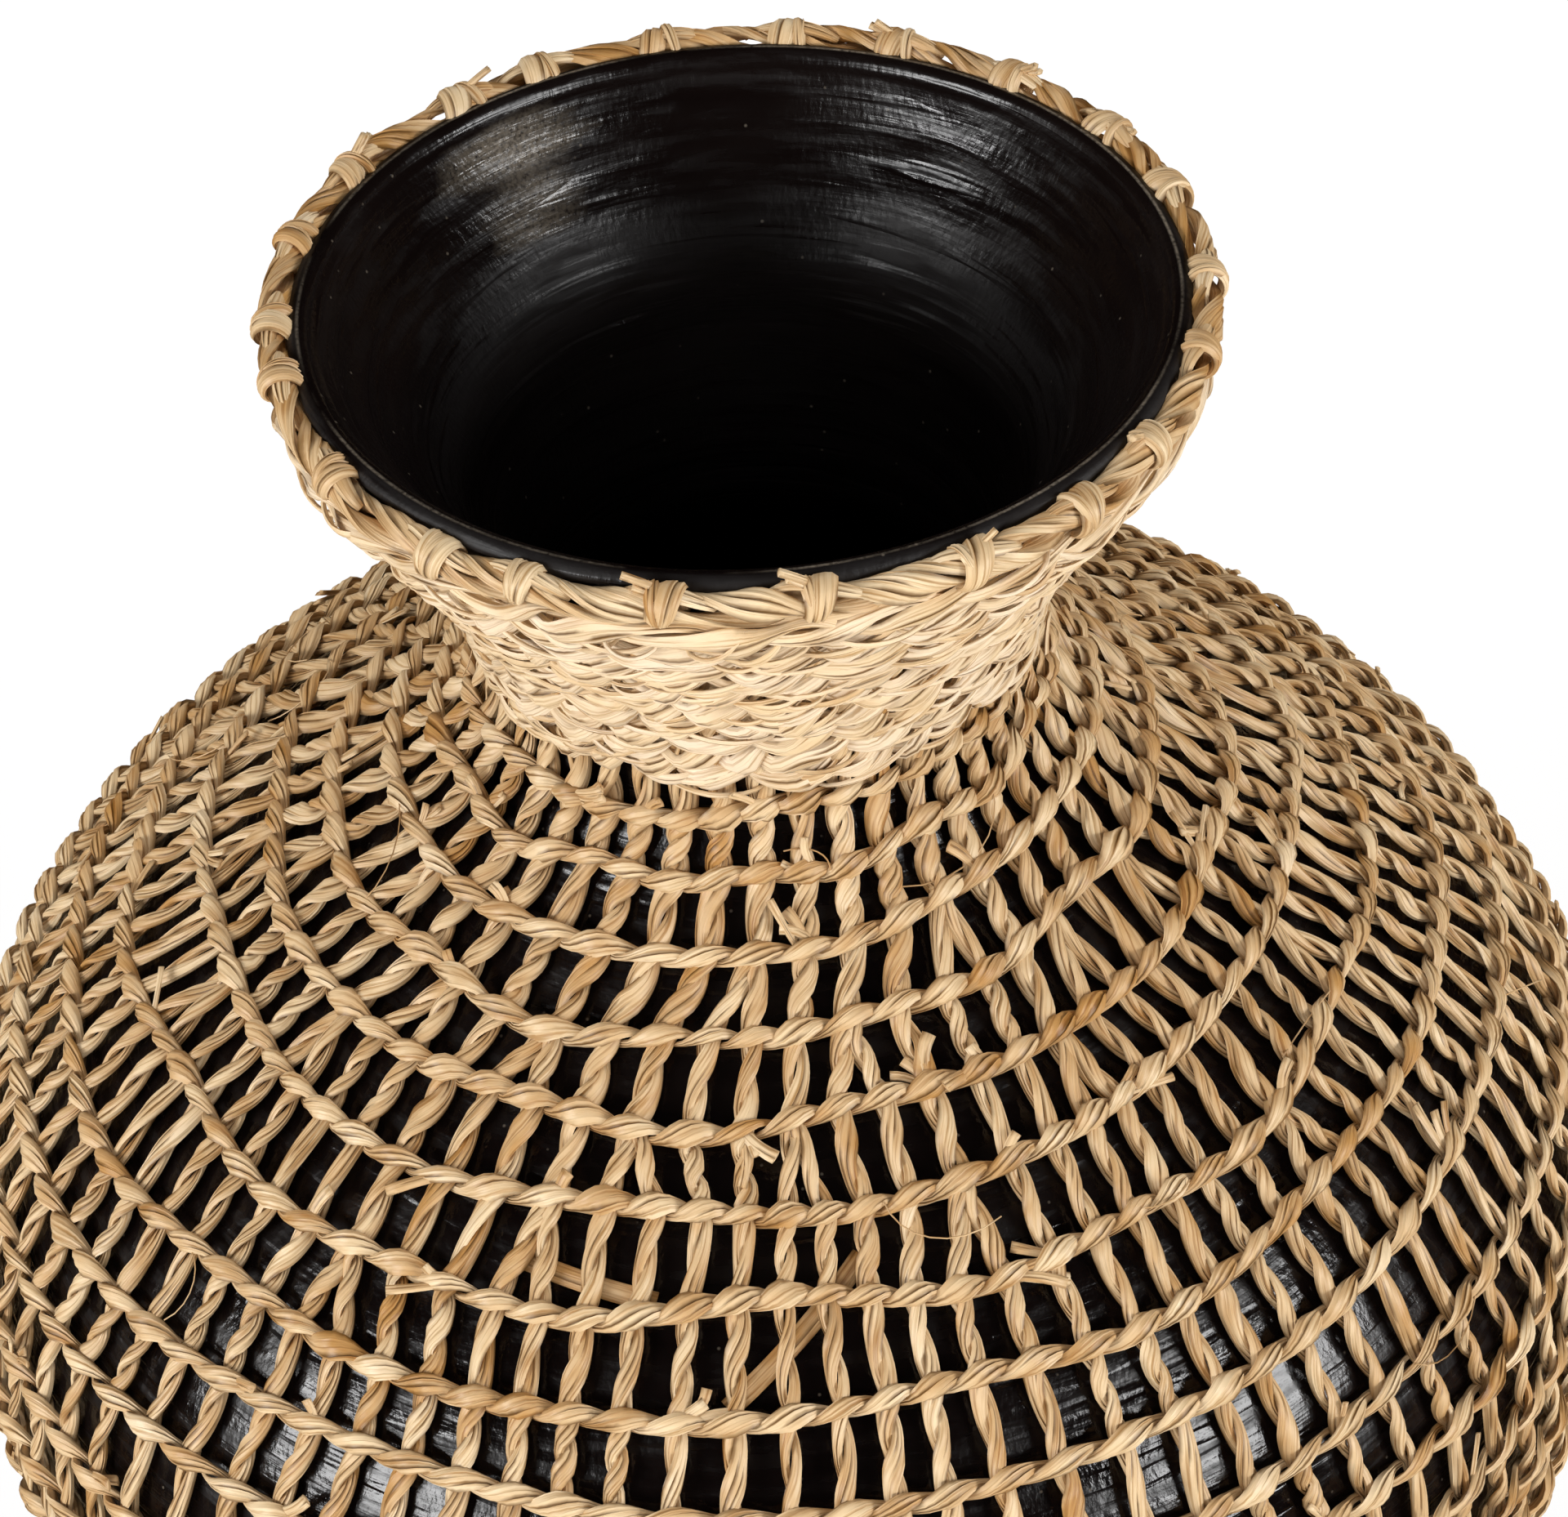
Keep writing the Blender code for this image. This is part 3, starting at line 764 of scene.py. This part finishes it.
def ring_angles(ring):
    """The angles of both legs of every stake at a ring, evened out. Unparted legs share one angle."""
    parted = (fork_of < ring) & (ring < rejoin_of)
    middles = stake_angle(np.arange(STAKES)) + lean_at(RING_AT[ring])
    legs = middles[:, None] + np.where(parted[:, None], [[-LEG_SPACING / 2, LEG_SPACING / 2]], 0.0)
    legs += np.where(parted[:, None], leg_shift[ring], leg_shift[ring, :, :1])
    loose = np.concatenate([legs[:, 0], legs[parted, 1]])
    order = np.argsort(loose)
    for _ in range(EVENING_STEPS):
        before = np.roll(loose[order], 1) - math.tau * (np.arange(len(loose)) == 0)
        after = np.roll(loose[order], -1) + math.tau * (np.arange(len(loose)) == len(loose) - 1)
        loose[order] = (before + 2 * loose[order] + after) / 4
    legs[:, 0] = loose[:STAKES]
    legs[:, 1] = loose[:STAKES]
    legs[parted, 1] = loose[STAKES:]
    return legs, np.sort(loose % math.tau)


LEG_ANGLES = [ring_angles(ring)[0] for ring in range(NET_RINGS)]
CROSSINGS = [ring_angles(ring)[1] for ring in range(NET_RINGS)]
print("crossings of each ring:", [len(angles) for angles in CROSSINGS])

# %% [markdown]
# ## Two plies round a line of stakes
# Rings and collar rows are made in the same way: two plies take turns to pass in front of a stake and
# behind it. With a turn of half a circle for each stake, one ply is in front where the other is behind.
# A ply in front is wide and slants up to the right. Between stakes it dives and narrows. Cut ends of
# blades stick out of the rings here and there, in small tufts, and thin hairs have come loose.

# %% Tufts of cut ends
TUFT_POINTS = 6
TUFT_LIFT = 3.2
TUFT_ENDS = (1, 4)
TUFT_HEADING = 0.9
TUFT_SPREAD = 0.9
END_TURN = 0.3
END_BEND = 0.25
END_LENGTH = (4.0, 10.0)
END_RISE = (-0.6, 2.6)
END_HALF_WIDTH = (0.6, 1.05)
END_NARROW = 0.85
END_WIDENING = 0.3
END_HALF_DEPTH = 0.4
END_DRIFT = 0.1
END_TINT = (0, 0.6)


def loose_way(along, around, heading, length, lift):
    """The way of a loose end and its outward side. A heading turns from straight up to the right."""
    share = np.linspace(0, 1, len(heading))
    up = along - length * share * np.cos(heading)
    side = around + length * share * np.sin(heading) / wall_radius(along)
    return on_wall(up, side, lift), wall_out(up, side)


def cut_end(along, around, heading, length, rise, half_width):
    """A short stub of blade."""
    share = np.linspace(0, 1, TUFT_POINTS)
    bend = heading + chance.normal(0, END_BEND) * share
    way = loose_way(along, around, bend, length, TUFT_LIFT + rise * share)
    half = half_width * (END_NARROW + END_WIDENING * share)
    return leaf(*way, half, END_HALF_DEPTH, END_DRIFT, chance.uniform(*END_TINT), RIBBON)


def tuft(along, around):
    """A few cut ends that fan out from one place."""
    heading = chance.normal(0, TUFT_HEADING)
    ends = []
    for _ in range(chance.randint(*TUFT_ENDS)):
        beside = around + chance.normal(0, TUFT_SPREAD) / wall_radius(along)
        length, rise = chance.uniform(*END_LENGTH), chance.uniform(*END_RISE)
        turned = heading + chance.normal(0, END_TURN)
        ends.append(cut_end(along, beside, turned, length, rise, chance.uniform(*END_HALF_WIDTH)))
    return ends


print("points in a cut end:", TUFT_POINTS)

# %% Loose hairs and strips
HAIR_POINTS = 9
HAIR_HALF_WIDTH = 0.13
HAIR_LENGTH = (8, 22)
HAIR_CURL = 1.2
HAIR_LIFT = 4.7
HAIR_RISE = 2
HAIR_TINT = 0.5
STRIP_POINTS = 14
STRIP_LIFT = 0.9
STRIP_HALF_WIDTH = 1.7
STRIP_HALF_DEPTH = 0.35
STRIP_DRIFT = 0.2
STRIP_TINT = 0.8


def loose_hair(along, around):
    """A thin fibre that has come loose and curls over the net."""
    share = np.linspace(0, 1, HAIR_POINTS)
    heading = chance.uniform(0, math.tau) + chance.normal(0, HAIR_CURL) * share
    length = chance.uniform(*HAIR_LENGTH)
    lift = HAIR_LIFT + chance.uniform(-HAIR_RISE, HAIR_RISE) * share
    way = loose_way(along, around, heading, length, lift)
    return leaf(*way, HAIR_HALF_WIDTH, HAIR_HALF_WIDTH, 0, HAIR_TINT, RIBBON)


def strip_behind(start, end):
    """A flat strip that lies on the clay behind the net, between two places given as along and around."""
    share = np.linspace(0, 1, STRIP_POINTS)
    along = start[0] + (end[0] - start[0]) * share
    around = start[1] + (end[1] - start[1]) * share
    points, out = on_wall(along, around, STRIP_LIFT), wall_out(along, around)
    return leaf(points, out, STRIP_HALF_WIDTH, STRIP_HALF_DEPTH, STRIP_DRIFT, STRIP_TINT, RIBBON)


print("points in a hair and a strip:", HAIR_POINTS, STRIP_POINTS)

# %% The turn of a twining pair
EXTRA_TURN_ARC = 0.3
SOFT_PLACES = range(-2, 3)


def all_round(radius, step):
    """Angles all the way round the pot, a step apart. They start at the back, where the seam is hidden."""
    count = int(math.tau * radius / step)
    return math.pi + np.arange(count) * math.tau / count


def turns_over(angles, around):
    """The turn of a twining pair, half a circle from each stake to the next, softened over a few places.
    An odd number of stakes gets one more half circle at the back, so that each ply meets its own start."""
    count = len(angles)
    extra = count % 2 * math.pi * np.clip((around - math.pi) / EXTRA_TURN_ARC, 0, 1)
    known = np.concatenate([angles - math.tau, angles, angles + math.tau])
    steady = around * count / 2
    uneven = np.interp(around, known, math.pi * np.arange(-count, 2 * count)) - steady
    return steady + extra + np.mean([np.roll(uneven, shift) for shift in SOFT_PLACES], axis=0)


print("stakes at the first ring:", len(CROSSINGS[0]))

# %% Ring cords. A wander has its size and its waves per round
RING_STEP = 1.4
RING_LIFT = 2.75
RING_SWING = 1.8
RING_SLANT = 0.85
RING_SAG = 0.7
RING_HALF_WIDTH = 1.05
RING_FRONT_WIDTH = 0.95
RING_BACK = -0.3
RING_HALF_DEPTH = 0.75
RING_TILT_OUT = 0.65
RING_THICK_WANDER = (0.22, (3, 7, 13, 23, 31))
RING_FOLD_WANDER = (0.16, (5, 11, 17, 23, 29))
RING_TINT = (0.15, 0.55)
RING_TINT_WANDER = (0.25, (2, 5, 9, 17, 29))
TUFT_SHARE = 0.13
HAIRS_PER_RING = 3
LEVEL_STRIP = ((154.0, math.radians(-25)), (157.0, math.radians(-12)))
SLANTED_STRIP = ((173.0, math.radians(-5.5)), (150.0, math.radians(6.5)))
LOOSE_STRIPS = {6: (LEVEL_STRIP, SLANTED_STRIP)}


def ring_strands(index):
    around = all_round(wall_radius(RING_AT[index]), RING_STEP)
    turn = turns_over(CROSSINGS[index], around)
    middle = ring_along(index, around)
    strands = []
    for ply in (0, 1):
        front, slant = np.cos(turn + math.pi * ply), np.sin(turn + math.pi * ply)
        thick = 1 + wander_round(*RING_THICK_WANDER)(around)
        along = middle - RING_SLANT * slant + RING_SAG * (0.5 - front / 2)
        points = on_wall(along, around, RING_LIFT + RING_SWING * front)
        out = wall_out(along, around) - RING_TILT_OUT * slant[:, None] * wall_down(along, around)
        width = (RING_HALF_WIDTH + RING_FRONT_WIDTH * np.clip(front, RING_BACK, 1)) * thick
        drift = wander_round(*RING_FOLD_WANDER)(around)
        tint = chance.uniform(*RING_TINT) + wander_round(*RING_TINT_WANDER)(around)
        strands.append(leaf(points, out, width, RING_HALF_DEPTH * thick, drift, tint, closed=True))
    for angle in CROSSINGS[index][chance.uniform(0, 1, len(CROSSINGS[index])) < TUFT_SHARE]:
        strands += tuft(ring_along(index, angle), angle)
    for angle in chance.uniform(0, math.tau, HAIRS_PER_RING):
        strands.append(loose_hair(ring_along(index, angle), angle))
    return strands + [strip_behind(start, end) for start, end in LOOSE_STRIPS.get(index, ())]


for index in range(NET_RINGS):
    name = f"{index + 1:02d}"
    ring = make_piece("ring_cord_" + name, ring_strands(index), "net_ring_" + name)
print("faces of the last ring:", len(ring.data.polygons))

# %% [markdown]
# ## Collar rows
# The collar is packed: twelve rows without a gap, of wide flat ribbons. Where a ply shows, it hangs like
# a small smile over the row below. The top rows bulge out under the rope. Each row starts its turns
# elsewhere, so no columns form. Stray ribbons lie across the rows, and a wide ribbon backs each row, so
# that no clay shows through.

# %% Stray ribbons
ROW_DROOP = 1.3
COLLAR_EDGE = 2.0
STRAYS_PER_ROW = 36
STRAY_POINTS = 11
STRAY_REACH = (4.0, 9.5)
STRAY_SLOPE = (-0.12, 0.22)
STRAY_SHIFT = 1.5
STRAY_LIFT = 2.3
STRAY_RISE = 3.0
STRAY_ARCH = 0.6
STRAY_HALF_WIDTH = (0.35, 1.4)
STRAY_END = 0.25
STRAY_HALF_DEPTH = 0.42
STRAY_DRIFT = 0.1
STRAY_TINT = (-0.9, 0.3)


def stray_ribbon(at, bulge):
    """A loose ribbon that lies over the rows, tucked in at both ends."""
    middle = chance.uniform(0, math.tau)
    reach = chance.uniform(*STRAY_REACH)
    slope = chance.normal(*STRAY_SLOPE)
    share = np.linspace(-1, 1, STRAY_POINTS)
    arch = 1 - share**2
    around = middle + reach * share / wall_radius(at)
    along = at + chance.normal(0, STRAY_SHIFT) + slope * reach * share + ROW_DROOP * arch
    along = np.clip(along, COLLAR_EDGE, WAIST_AT)
    points = on_wall(along, around, STRAY_LIFT + bulge + STRAY_RISE * arch**STRAY_ARCH)
    width = chance.uniform(*STRAY_HALF_WIDTH) * (STRAY_END + (1 - STRAY_END) * arch)
    drift = chance.normal(0, STRAY_DRIFT)
    tint = chance.uniform(*STRAY_TINT)
    return leaf(points, wall_out(along, around), width, STRAY_HALF_DEPTH, drift, tint, RIBBON)


print("stray ribbons:", STRAYS_PER_ROW * COLLAR_ROWS)

# %% Collar rows
ROW_STEP = 1.3
ROW_LIFT = 2.7
ROW_LEAST_LIFT = 0.9
ROW_SWING = 1.8
ROW_SLANT = 1.3
ROW_HALF_WIDTH = 1.4
ROW_FRONT_WIDTH = 0.9
ROW_BACK = -0.4
ROW_HALF_DEPTH = 1.15
ROW_LEAN_OUT = 0.3
ROW_TILT_OUT = 0.5
ROW_START = 1.5
ROW_WANDER = 0.8
ROW_PROUD_WANDER = (0.4, (7, 13, 19, 29, 37))
ROW_LEVEL_WANDER = (0.5, (11, 17, 23, 31))
ROW_THICK_WANDER = (0.25, (9, 15, 21, 33))
ROW_TINT = (-0.9, -0.3)
ROW_TINT_WANDER = (0.35, (2, 5, 9, 17, 29))
FOLD_WANDER = (0.16, (7, 11, 19, 27))
BACKING_LIFT = 1.4
BACKING_HALF_WIDTH = 3.7
BACKING_HALF_DEPTH = 0.5
BACKING_TINT = -0.2
TOP_ROW_BULGE = 2.0
BULGE_CALM = 0.4
BULGE_ROWS = 1.5
COLLAR_FLOATS = 29
FLOAT_JITTER = 0.22


def row_strands(index):
    around = all_round(wall_radius(COLLAR_AT[index]), ROW_STEP)
    crossings = np.arange(COLLAR_FLOATS) + 0.5 + chance.normal(0, FLOAT_JITTER, COLLAR_FLOATS)
    turn = turns_over(crossings * math.tau / COLLAR_FLOATS, around) + chance.uniform(-ROW_START, ROW_START)
    bulge = TOP_ROW_BULGE * math.exp(-index / BULGE_ROWS)
    swing = ROW_SWING - BULGE_CALM * bulge
    middle = COLLAR_AT[index] - bulge + wander_round(ROW_WANDER)(around)
    out = wall_out(middle, around)
    backing = on_wall(middle, around, BACKING_LIFT + bulge)
    wide, deep = BACKING_HALF_WIDTH, BACKING_HALF_DEPTH
    strands = [leaf(backing, out, wide, deep, 0, BACKING_TINT, RIBBON, closed=True)]
    for ply, section in enumerate((FOLDED_LEAF, RIBBON)):
        front, slant = np.cos(turn + math.pi * ply), np.sin(turn + math.pi * ply)
        proud = wander_round(*ROW_PROUD_WANDER)(around)
        along = middle - ROW_SLANT * slant + ROW_DROOP * front + wander_round(*ROW_LEVEL_WANDER)(around)
        along = np.maximum(along, COLLAR_EDGE)
        lift = bulge + np.maximum(ROW_LIFT + swing * front + proud, ROW_LEAST_LIFT)
        points = on_wall(along, around, lift)
        tilt = ROW_LEAN_OUT + ROW_TILT_OUT * slant
        out = wall_out(along, around) - tilt[:, None] * wall_down(along, around)
        thick = 1 + wander_round(*ROW_THICK_WANDER)(around)
        width = thick * (ROW_HALF_WIDTH + ROW_FRONT_WIDTH * np.clip(front, ROW_BACK, 1))
        drift = wander_round(*FOLD_WANDER)(around)
        tint = chance.uniform(*ROW_TINT) + wander_round(*ROW_TINT_WANDER)(around)
        strands.append(leaf(points, out, width, ROW_HALF_DEPTH, drift, tint, section, closed=True))
    return strands + [stray_ribbon(COLLAR_AT[index], bulge) for _ in range(STRAYS_PER_ROW)]


for index in range(COLLAR_ROWS):
    name = f"{index + 1:02d}"
    row = make_piece("collar_weave_" + name, row_strands(index), "collar_row_" + name)
print("faces of the last row:", len(row.data.polygons))

# %% [markdown]
# ## The rim rope
# A two-ply rope lies outside the lip. Its plies are wider than the net's, and they make thirteen turns
# on their way round, so between the knots they run long and flat. At the knots the rope is pinched. It
# sits lower at the front than at the back, as the photograph shows.

# %% Rim rope
ROPE_DEPTH = 2.6
ROPE_FRONT_DROP = 1.4
ROPE_CENTRE_RADIUS = 73.9
ROPE_STEP = 1.3
ROPE_REACH = 1.5
ROPE_HALF_WIDTH = 2.25
ROPE_HALF_DEPTH = 1.1
ROPE_PINCH = 0.16
ROPE_TURNS = 13
ROPE_TURN_WANDER = 0.6
ROPE_THICK_WANDER = (0.12, (3, 7, 13, 23))
ROPE_TINT = 0.55
# The rope is painted paler at the front than at the back: painted light on its front.
ROPE_FRONT_PAINTED_LIGHT = 0.3
ROPE_TINT_WANDER = (0.3, (2, 5, 9, 17))
ROPE_SWING_WANDER = (0.25, (3, 5, 8, 13, 22))
ROPE_RISE_WANDER = (0.9, (3, 5, 9, 14, 22))
KNOTS = 22
rope_swing = wander_round(*ROPE_SWING_WANDER)
rope_rise = wander_round(*ROPE_RISE_WANDER)
ROPE_OUT = np.array([math.cos(LIP_FLARE_ANGLE), math.sin(LIP_FLARE_ANGLE)])
ROPE_DOWN = np.array([ROPE_OUT[1], -ROPE_OUT[0]])


def rope_middle(around):
    depth = ROPE_DEPTH + ROPE_FRONT_DROP * np.cos(around) - rope_rise(around)
    return turned_to(ROPE_CENTRE_RADIUS + rope_swing(around), POT_HEIGHT - depth, around) * MM


def round_rope(turn, around):
    """The direction away from the middle of the rope, at a turn from outwards to downwards."""
    out, down = turned_to(*ROPE_OUT, around), turned_to(*ROPE_DOWN, around)
    return np.cos(turn)[:, None] * out + np.sin(turn)[:, None] * down


def rope_strands():
    around = all_round(ROPE_CENTRE_RADIUS, ROPE_STEP)
    pinch = -ROPE_PINCH * np.cos(KNOTS * (around - math.pi / 2))
    plies = []
    for ply in (0, 1):
        turn = ROPE_TURNS * around + math.pi * ply + wander_round(ROPE_TURN_WANDER)(around)
        away = round_rope(turn, around)
        thick = 1 + wander_round(*ROPE_THICK_WANDER)(around) + pinch
        # Paler at the front, tanner at the back: painted light on the rope's front.
        tint = ROPE_TINT - ROPE_FRONT_PAINTED_LIGHT * np.cos(around) + wander_round(*ROPE_TINT_WANDER)(around)
        drift = wander_round(*FOLD_WANDER)(around)
        points = rope_middle(around) + ROPE_REACH * MM * away
        width, depth = ROPE_HALF_WIDTH * thick, ROPE_HALF_DEPTH * thick
        plies.append(leaf(points, away, width, depth, drift, tint, closed=True))
    return plies


make_piece("rim_cord", rope_strands(), "rim_rope")
print("rope radius:", ROPE_CENTRE_RADIUS)

# %% [markdown]
# ## Stakes and their knots
# A stake pair is one long strand, folded over the rope. Its fold is a knot: a narrow and a wide leaf
# that wrap the rope at a slant, over a ply that bulges. Its two ends hang down the wall as two-ply
# stakes, pass through the collar, part in two on the shoulder and come together again near the foot.
# From ring to ring the plies of a stake change places about one and a half times.

# %% Two-ply stakes
STAKE_STEP = 1.25
STAKE_LEAST_POINTS = 4
STAKE_LIFT = 2.3
STAKE_SWING = 0.8
STAKE_REACH = 0.95
STAKE_HALF_WIDTH = 1.25
STAKE_FRONT_WIDTH = 0.45
STAKE_WIDTH_SPREAD = (0.75, 1.15)
STAKE_HALF_DEPTH = 0.75
STAKE_TILT_OUT = 0.9
STAKE_FOLD_STEP = 0.03
STAKE_FOLD_REACH = 0.25
STAKE_TINT = (0.15, 0.65)
STAKE_TINT_STEP = 0.02


def cord_strands(along_knots, around_knots, turn_knots, thick):
    """A two-ply stake through its crossings, each with a place along the wall, an angle and a turn."""
    count = max(STAKE_LEAST_POINTS, int((along_knots[-1] - along_knots[0]) / STAKE_STEP))
    along = np.linspace(along_knots[0], along_knots[-1], count)
    around = np.interp(along, along_knots, around_knots)
    turn = np.interp(along, along_knots, turn_knots)
    plies = []
    for ply in (0, 1):
        front, aside = np.cos(turn + math.pi * ply), np.sin(turn + math.pi * ply)
        beside = around - STAKE_REACH * thick * aside / wall_radius(along)
        points = on_wall(along, beside, STAKE_LIFT + STAKE_SWING * front)
        out = wall_out(along, beside) - STAKE_TILT_OUT * aside[:, None] * rightward(beside)
        width = (STAKE_HALF_WIDTH + STAKE_FRONT_WIDTH * front) * thick * chance.uniform(*STAKE_WIDTH_SPREAD)
        drift = chance.normal(0, STAKE_FOLD_STEP, count).cumsum()
        drift = np.clip(drift, -STAKE_FOLD_REACH, STAKE_FOLD_REACH)
        tint = chance.uniform(*STAKE_TINT) + chance.normal(0, STAKE_TINT_STEP, count).cumsum()
        plies.append(leaf(points, out, width, STAKE_HALF_DEPTH, drift, tint))
    return plies


print("points in a stake:", int(WALL_LENGTH / STAKE_STEP))

# %% A stake from the rope to the foot
STAKE_TURN = 1.55 * math.pi
STAKE_TURN_JITTER = 0.9
THICK_STAKE = 1.25
STAKE_TOP = 6.0
STAKE_END_ABOVE_FOOT = 7.0
STAKE_JOIN = 1.2
HIDDEN_CELL = 14.0


def stake_strands(stake):
    """One stake: whole at the top, parted in two legs on the body, and whole again near the foot."""
    fork, rejoin = fork_of[stake], rejoin_of[stake]
    angles = np.array([LEG_ANGLES[ring][stake] for ring in range(NET_RINGS)])
    places = np.array([ring_along(ring, angles[ring]) for ring in range(NET_RINGS)])
    turns = STAKE_TURN * np.arange(NET_RINGS) + chance.normal(0, STAKE_TURN_JITTER, NET_RINGS)
    top_turn = turns[0] - math.pi * (places[0, 0] - STAKE_TOP) / HIDDEN_CELL
    top_angle = stake_angle(stake) + lean_at(0)
    strands = cord_strands(
        np.concatenate([[STAKE_TOP], places[: fork + 1, 0], [places[fork, 0] + STAKE_JOIN]]),
        np.concatenate([[top_angle], angles[: fork + 1, 0], [angles[fork, 0]]]),
        np.concatenate([[top_turn], turns[: fork + 1], [turns[fork]]]),
        THICK_STAKE,
    )
    for leg in (0, 1):
        leg_places = places[fork : rejoin + 1, leg] + 0.0
        leg_places[0] -= STAKE_JOIN
        leg_places[-1] += STAKE_JOIN
        strands += cord_strands(leg_places, angles[fork : rejoin + 1, leg], turns[fork : rejoin + 1], 1.0)
    lower_places = np.append(places[rejoin:, 0], WALL_LENGTH - STAKE_END_ABOVE_FOOT)
    lower_places[0] -= STAKE_JOIN
    lower_angles = np.append(angles[rejoin:, 0], angles[-1, 0])
    lower_turns = np.append(turns[rejoin:], turns[-1] + math.pi / 2)
    return strands + cord_strands(lower_places, lower_angles, lower_turns, THICK_STAKE)


print("strands of the first stake:", len(stake_strands(0)))

# %% Leaves of a knot. A band has its place beside the middle, its share of the slant and of the width
KNOT_REACH = 2.3
KNOT_REACH_JITTER = 0.4
KNOT_START = 0.75 * math.pi
KNOT_TURN = 1.85 * math.pi
KNOT_TURN_JITTER = 0.15
KNOT_SLANT = 7.0
KNOT_SLANT_SPREAD = (0.5, 1.3)
KNOT_SLANT_MIDDLE = 0.6
KNOT_POINTS = 26
KNOT_SWELL = 0.6
KNOT_HALF_WIDTH = 1.35
KNOT_WIDTH_SPREAD = (0.85, 1.15)
KNOT_END_WIDTH = 0.55
KNOT_TOP_WIDTH = 0.55
KNOT_HALF_DEPTH = 0.85
KNOT_DRIFT = 0.1
KNOT_TINT = (0.0, 0.7)
KNOT_JITTER = 0.035
KNOT_BANDS = ((-1.0, -0.5, 0.8), (0.4, 0.8, 1.7))


def wrapped_leaf(around, slant, spread):
    """A flat leaf that wraps the rope at a slant, from behind it over its top and down in front."""
    middle = rope_middle(np.array([around]))[0]
    wrap = np.linspace(0, 1, KNOT_POINTS)
    turn = KNOT_START + KNOT_TURN * wrap + chance.uniform(-KNOT_TURN_JITTER, KNOT_TURN_JITTER)
    away = round_rope(turn, around)
    swell = np.sin(math.pi * wrap)
    lift = KNOT_REACH + KNOT_SWELL * swell + chance.uniform(0, KNOT_REACH_JITTER)
    shift = slant * (KNOT_SLANT_MIDDLE - wrap)
    points = middle + (lift[:, None] * away + shift[:, None] * rightward(around)) * MM
    width = KNOT_HALF_WIDTH * spread * chance.uniform(*KNOT_WIDTH_SPREAD)
    width = width * (KNOT_END_WIDTH + KNOT_TOP_WIDTH * swell)
    drift, tint = chance.normal(0, KNOT_DRIFT), chance.uniform(*KNOT_TINT)
    return leaf(points, away, width, KNOT_HALF_DEPTH, drift, tint)


print("leaves in a knot:", len(KNOT_BANDS))

# %% The ply under a knot and its cut ends
ARCH_HALF_LENGTH = 8.0
ARCH_POINTS = 15
ARCH_TURN = -1.1
ARCH_TWIST = 0.5
ARCH_REACH = 1.9
ARCH_RISE = 0.8
ARCH_DIVE = 1.2
ARCH_HALF_WIDTH = 1.6
ARCH_NARROWING = 0.9
ARCH_HALF_DEPTH = 0.7
ARCH_DRIFT = 0.1
ARCH_TINT = (-0.2, 0.6)
STUB_SHARE = 0.3
STUB_COUNT = (1, 4)
STUB_POINTS = 6
STUB_START = 1.5
STUB_LENGTH = (2.5, 5)
STUB_OUT = 0.45
STUB_UP = (0.5, 1.1)
STUB_LIFT = 3.0
STUB_RISE = 1.8
STUB_HALF_WIDTH = (0.6, 1.0)
STUB_HALF_DEPTH = 0.6
STUB_DRIFT = 0.2
STUB_TINT = (0, 0.4)


def arch_strand(around):
    """The ply that bulges over the top of the rope at a knot."""
    share = np.linspace(-1, 1, ARCH_POINTS)
    angles = around + ARCH_HALF_LENGTH * share / ROPE_CENTRE_RADIUS
    away = round_rope(ARCH_TURN + ARCH_TWIST * share, angles)
    lift = ARCH_REACH + ARCH_RISE * (1 - share**2) - ARCH_DIVE * share**4
    width = ARCH_HALF_WIDTH - ARCH_NARROWING * share**2
    points = rope_middle(angles) + lift[:, None] * away * MM
    return leaf(points, away, width, ARCH_HALF_DEPTH, ARCH_DRIFT, chance.uniform(*ARCH_TINT))


def knot_stubs(around):
    """The cut ends that some knots have, lying along the rope."""
    if chance.uniform() > STUB_SHARE:
        return []
    share = np.linspace(0, 1, STUB_POINTS)
    side = chance.choice([-1, 1])
    stubs = []
    for _ in range(chance.randint(*STUB_COUNT)):
        angles = around + side * (STUB_START + chance.uniform(*STUB_LENGTH) * share) / ROPE_CENTRE_RADIUS
        away = turned_to(*(STUB_OUT * ROPE_OUT - chance.uniform(*STUB_UP) * ROPE_DOWN), angles)
        points = rope_middle(angles) + (STUB_LIFT + STUB_RISE * share)[:, None] * away * MM
        width, tint = chance.uniform(*STUB_HALF_WIDTH), chance.uniform(*STUB_TINT)
        stubs.append(leaf(points, away, width, STUB_HALF_DEPTH, STUB_DRIFT, tint, RIBBON))
    return stubs


print("points in the ply under a knot:", ARCH_POINTS)


# %% Knots and stake pairs
def knot_strands(around):
    """A knot: a narrow and a wide leaf that cross over the rope, and the ply that they hold."""
    slant = KNOT_SLANT * chance.uniform(*KNOT_SLANT_SPREAD)
    wraps = []
    for side, turn, spread in KNOT_BANDS:
        wraps.append(wrapped_leaf(around + side / ROPE_CENTRE_RADIUS, slant * turn, spread))
    return wraps + [arch_strand(around)] + knot_stubs(around)


for pair in range(KNOTS):
    name = f"{pair + 1:02d}"
    strands = stake_strands(2 * pair) + stake_strands(2 * pair + 1)
    strands += knot_strands(math.pi / 2 + pair * math.tau / KNOTS + chance.normal(0, KNOT_JITTER))
    stakes = make_piece("stake_cords_" + name, strands, "stake_pair_" + name)
print("faces of the last stake pair:", len(stakes.data.polygons))

# %% Sizes for comparison, and the end
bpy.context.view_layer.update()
meshes = [o.data for o in bpy.context.scene.objects if o.type == "MESH"]
print("corners of all faces:", sum(len(mesh.loops) for mesh in meshes))
